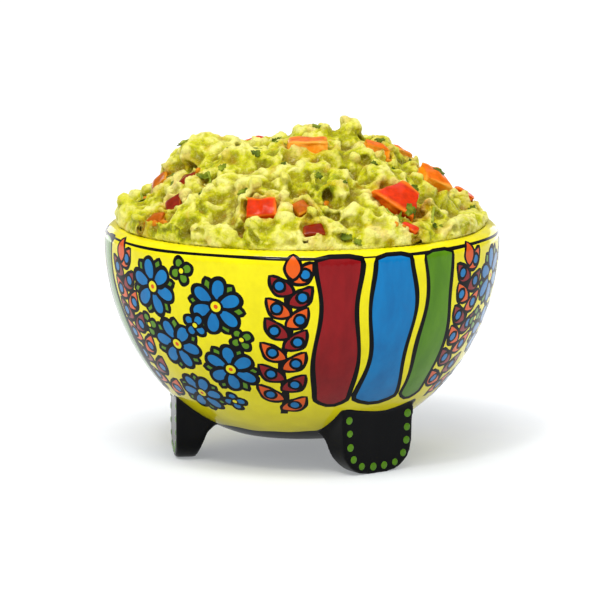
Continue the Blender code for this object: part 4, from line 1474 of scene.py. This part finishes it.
def studio():
    world = bpy.data.worlds.new("studio")
    bpy.context.scene.world = world
    world.use_nodes = True
    sky = world.node_tree.nodes["Background"]
    sky.inputs["Color"].default_value = (1.0, 1.0, 1.0, 1.0)
    sky.inputs["Strength"].default_value = 0.33

    bpy.ops.mesh.primitive_plane_add(size=16)
    floor = bpy.context.object
    floor.name = "floor"
    made, tree, shader = new_material("floor_paper", Roughness=0.7, Specular_IOR_Level=0.1)
    place = add_node(tree, "TexCoord").outputs["Object"]
    depth = add_node(tree, "SeparateXYZ", {"Vector": place}).outputs["Y"]
    # Painted light: the paper is paler towards the back, so the floor brightens away from the camera.
    back = remap(tree, depth, -0.1, 1.2, 0.0, 1.0)
    grain = remap(tree, noise_value(tree, 60, 2.0), 0.3, 0.7, 0.0, 1.0)
    paper = mix(tree, grain, (0.675, 0.69, 0.705), (0.695, 0.71, 0.725))
    tree.links.new(mix(tree, back, paper, (0.78, 0.78, 0.78)), shader.inputs["Base Color"])
    shader.inputs["Emission Color"].default_value = (0.95, 0.98, 1.0, 1.0)
    shader.inputs["Emission Strength"].default_value = 0.28
    floor.data.materials.append(made)

    for name, aim, energy, spread in (
        ("key", (0.08, 0.50, -0.86), 1.02, 30),
        ("spark", (0.22, 0.55, -0.80), 0.46, 6),
        ("front", (0.0, 0.92, -0.40), 0.20, 50),
        ("fill_left", (0.55, 0.30, -0.78), 0.23, 70),
        ("fill_right", (-0.55, 0.30, -0.78), 0.41, 70),
        ("top", (0.0, 0.10, -1.0), 0.40, 70),
        ("back", (0.0, -0.60, -0.80), 0.30, 40),
    ):
        data = bpy.data.lights.new(name, "SUN")
        data.energy, data.angle = energy, math.radians(spread)
        light = bpy.data.objects.new(name, data)
        light.rotation_euler = Vector(aim).to_track_quat("-Z", "Y").to_euler()
        bpy.context.scene.collection.objects.link(light)
    for name, place, size, energy in (
        ("rim_left", (-0.43, 0.77, 0.14), (0.45, 0.30), 0.8),
        ("rim_right", (0.43, 0.77, 0.14), (0.45, 0.30), 0.8),
        ("top_panel", (-0.10, -0.30, 0.70), (0.30, 0.12), 1.3),
    ):
        data = bpy.data.lights.new(name, "AREA")
        data.shape, data.size, data.size_y, data.energy = "RECTANGLE", *size, energy
        light = bpy.data.objects.new(name, data)
        light.location = place
        aim = Vector((0, 0, 0.07)) - Vector(place)
        light.rotation_euler = aim.to_track_quat("-Z", "Y").to_euler()
        bpy.context.scene.collection.objects.link(light)


def camera():
    bpy.context.scene.view_settings.view_transform = "Standard"
    data = bpy.data.cameras.new("camera")
    data.sensor_width = SENSOR
    data.lens = FOCAL_PIXELS / PHOTO_PIXELS * SENSOR
    data.clip_end = 50
    made = bpy.data.objects.new("camera", data)
    elevation, distance = math.radians(9.5), 1.6
    back = Vector((0, -math.cos(elevation), math.sin(elevation)))
    made.location = Vector((-0.0007, 0, 0.055)) + back * distance
    made.rotation_euler = (-back).to_track_quat("-Z", "Y").to_euler()
    bpy.context.scene.collection.objects.link(made)
    bpy.context.scene.camera = made


def glaze(name, first, second, streak=(1, 1, 0.25), coat=1.0):
    """A glossy glaze whose colour thickens in brush strokes, and is darkened towards the foot of the bowl
    as painted shade.
    """
    made, tree, shader = new_material(
        name,
        Roughness=0.3,
        Coat_Weight=coat,
        Coat_Roughness=0.025,
        Coat_IOR=1.26,
        Specular_IOR_Level=0.02,
    )
    strokes = noise_value(tree, 160, 4.0, 0.6, streak)
    brushed = mix(tree, remap(tree, strokes, 0.35, 0.65, 0, 1), first, second)
    place = add_node(tree, "TexCoord").outputs["Object"]
    height = add_node(tree, "SeparateXYZ", {"Vector": place}).outputs["Z"]
    # Painted shade: below 55 mm up the colour darkens, to about half at 12 mm and under.
    unshaded_share = remap(tree, height, 0.012, 0.055, 0.0, 1.0)
    thick = mix(tree, 1.0, brushed, (0.52, 0.52, 0.52), "MULTIPLY")
    tree.links.new(mix(tree, unshaded_share, thick, brushed), shader.inputs["Base Color"])
    wobble = bump(tree, noise_value(tree, 45, 2.0), 0.0012, 0.25)
    peel = bump(tree, noise_value(tree, 700, 2.0), 0.00008, 0.35, wobble)
    tree.links.new(peel, shader.inputs["Normal"])
    tree.links.new(peel, shader.inputs["Coat Normal"])
    return made


def main():
    glazes = [None] * 6
    glazes[INK] = glaze("glaze_black", (0.0016, 0.0019, 0.0028), (0.0034, 0.0034, 0.0042), coat=0.40)
    glazes[SUN] = glaze("glaze_yellow", (0.86, 0.76, 0.003), (0.78, 0.68, 0.003), (1, 1, 1))
    glazes[SEA] = glaze("glaze_blue", (0.001, 0.19, 0.48), (0.001, 0.145, 0.39))
    glazes[BLOOD] = glaze("glaze_red", (0.27, 0.004, 0.006), (0.20, 0.002, 0.004))
    glazes[LEAF] = glaze("glaze_green", (0.10, 0.26, 0.003), (0.07, 0.20, 0.003))
    glazes[FLAME] = glaze("glaze_orange", (0.78, 0.11, 0.004), (0.66, 0.08, 0.004))
    dots = glaze("glaze_bright_green", (0.17, 0.44, 0.008), (0.13, 0.36, 0.006))
    bowl_shell(glazes)
    bowl_feet(glazes[INK])
    foot_dots(dots)

    mound, small_lumps = guacamole_mound()
    add_plug(mound)
    write_mash_colour(mound.data, *colour_mound(mound.data, small_lumps))
    mound.data.materials.clear()
    mound.data.materials.append(mash_material())
    finish_piece(mound, "mashed_avocado", "guacamole")

    flesh = [
        tomato_material("tomato_dark", (0.24, 0.014, 0.0005), (0.34, 0.036, 0.001), (0.52, 0.12, 0.004)),
        tomato_material("tomato_red", (0.70, 0.034, 0.001), (0.74, 0.065, 0.001), (0.90, 0.25, 0.010)),
        tomato_material("tomato_orange", (0.86, 0.16, 0.002), (0.92, 0.28, 0.005), (0.97, 0.46, 0.06)),
        tomato_material("tomato_pulp", (0.50, 0.11, 0.002), (0.58, 0.17, 0.003), (0.74, 0.30, 0.012)),
    ]
    dice = [tomato_piece(i, flesh) for i in range(len(TOMATO_PIECES))]
    food = [mound] + dice
    tomato_crumbs([mound], flesh[3])
    coriander(food)

    studio()
    camera()


main()
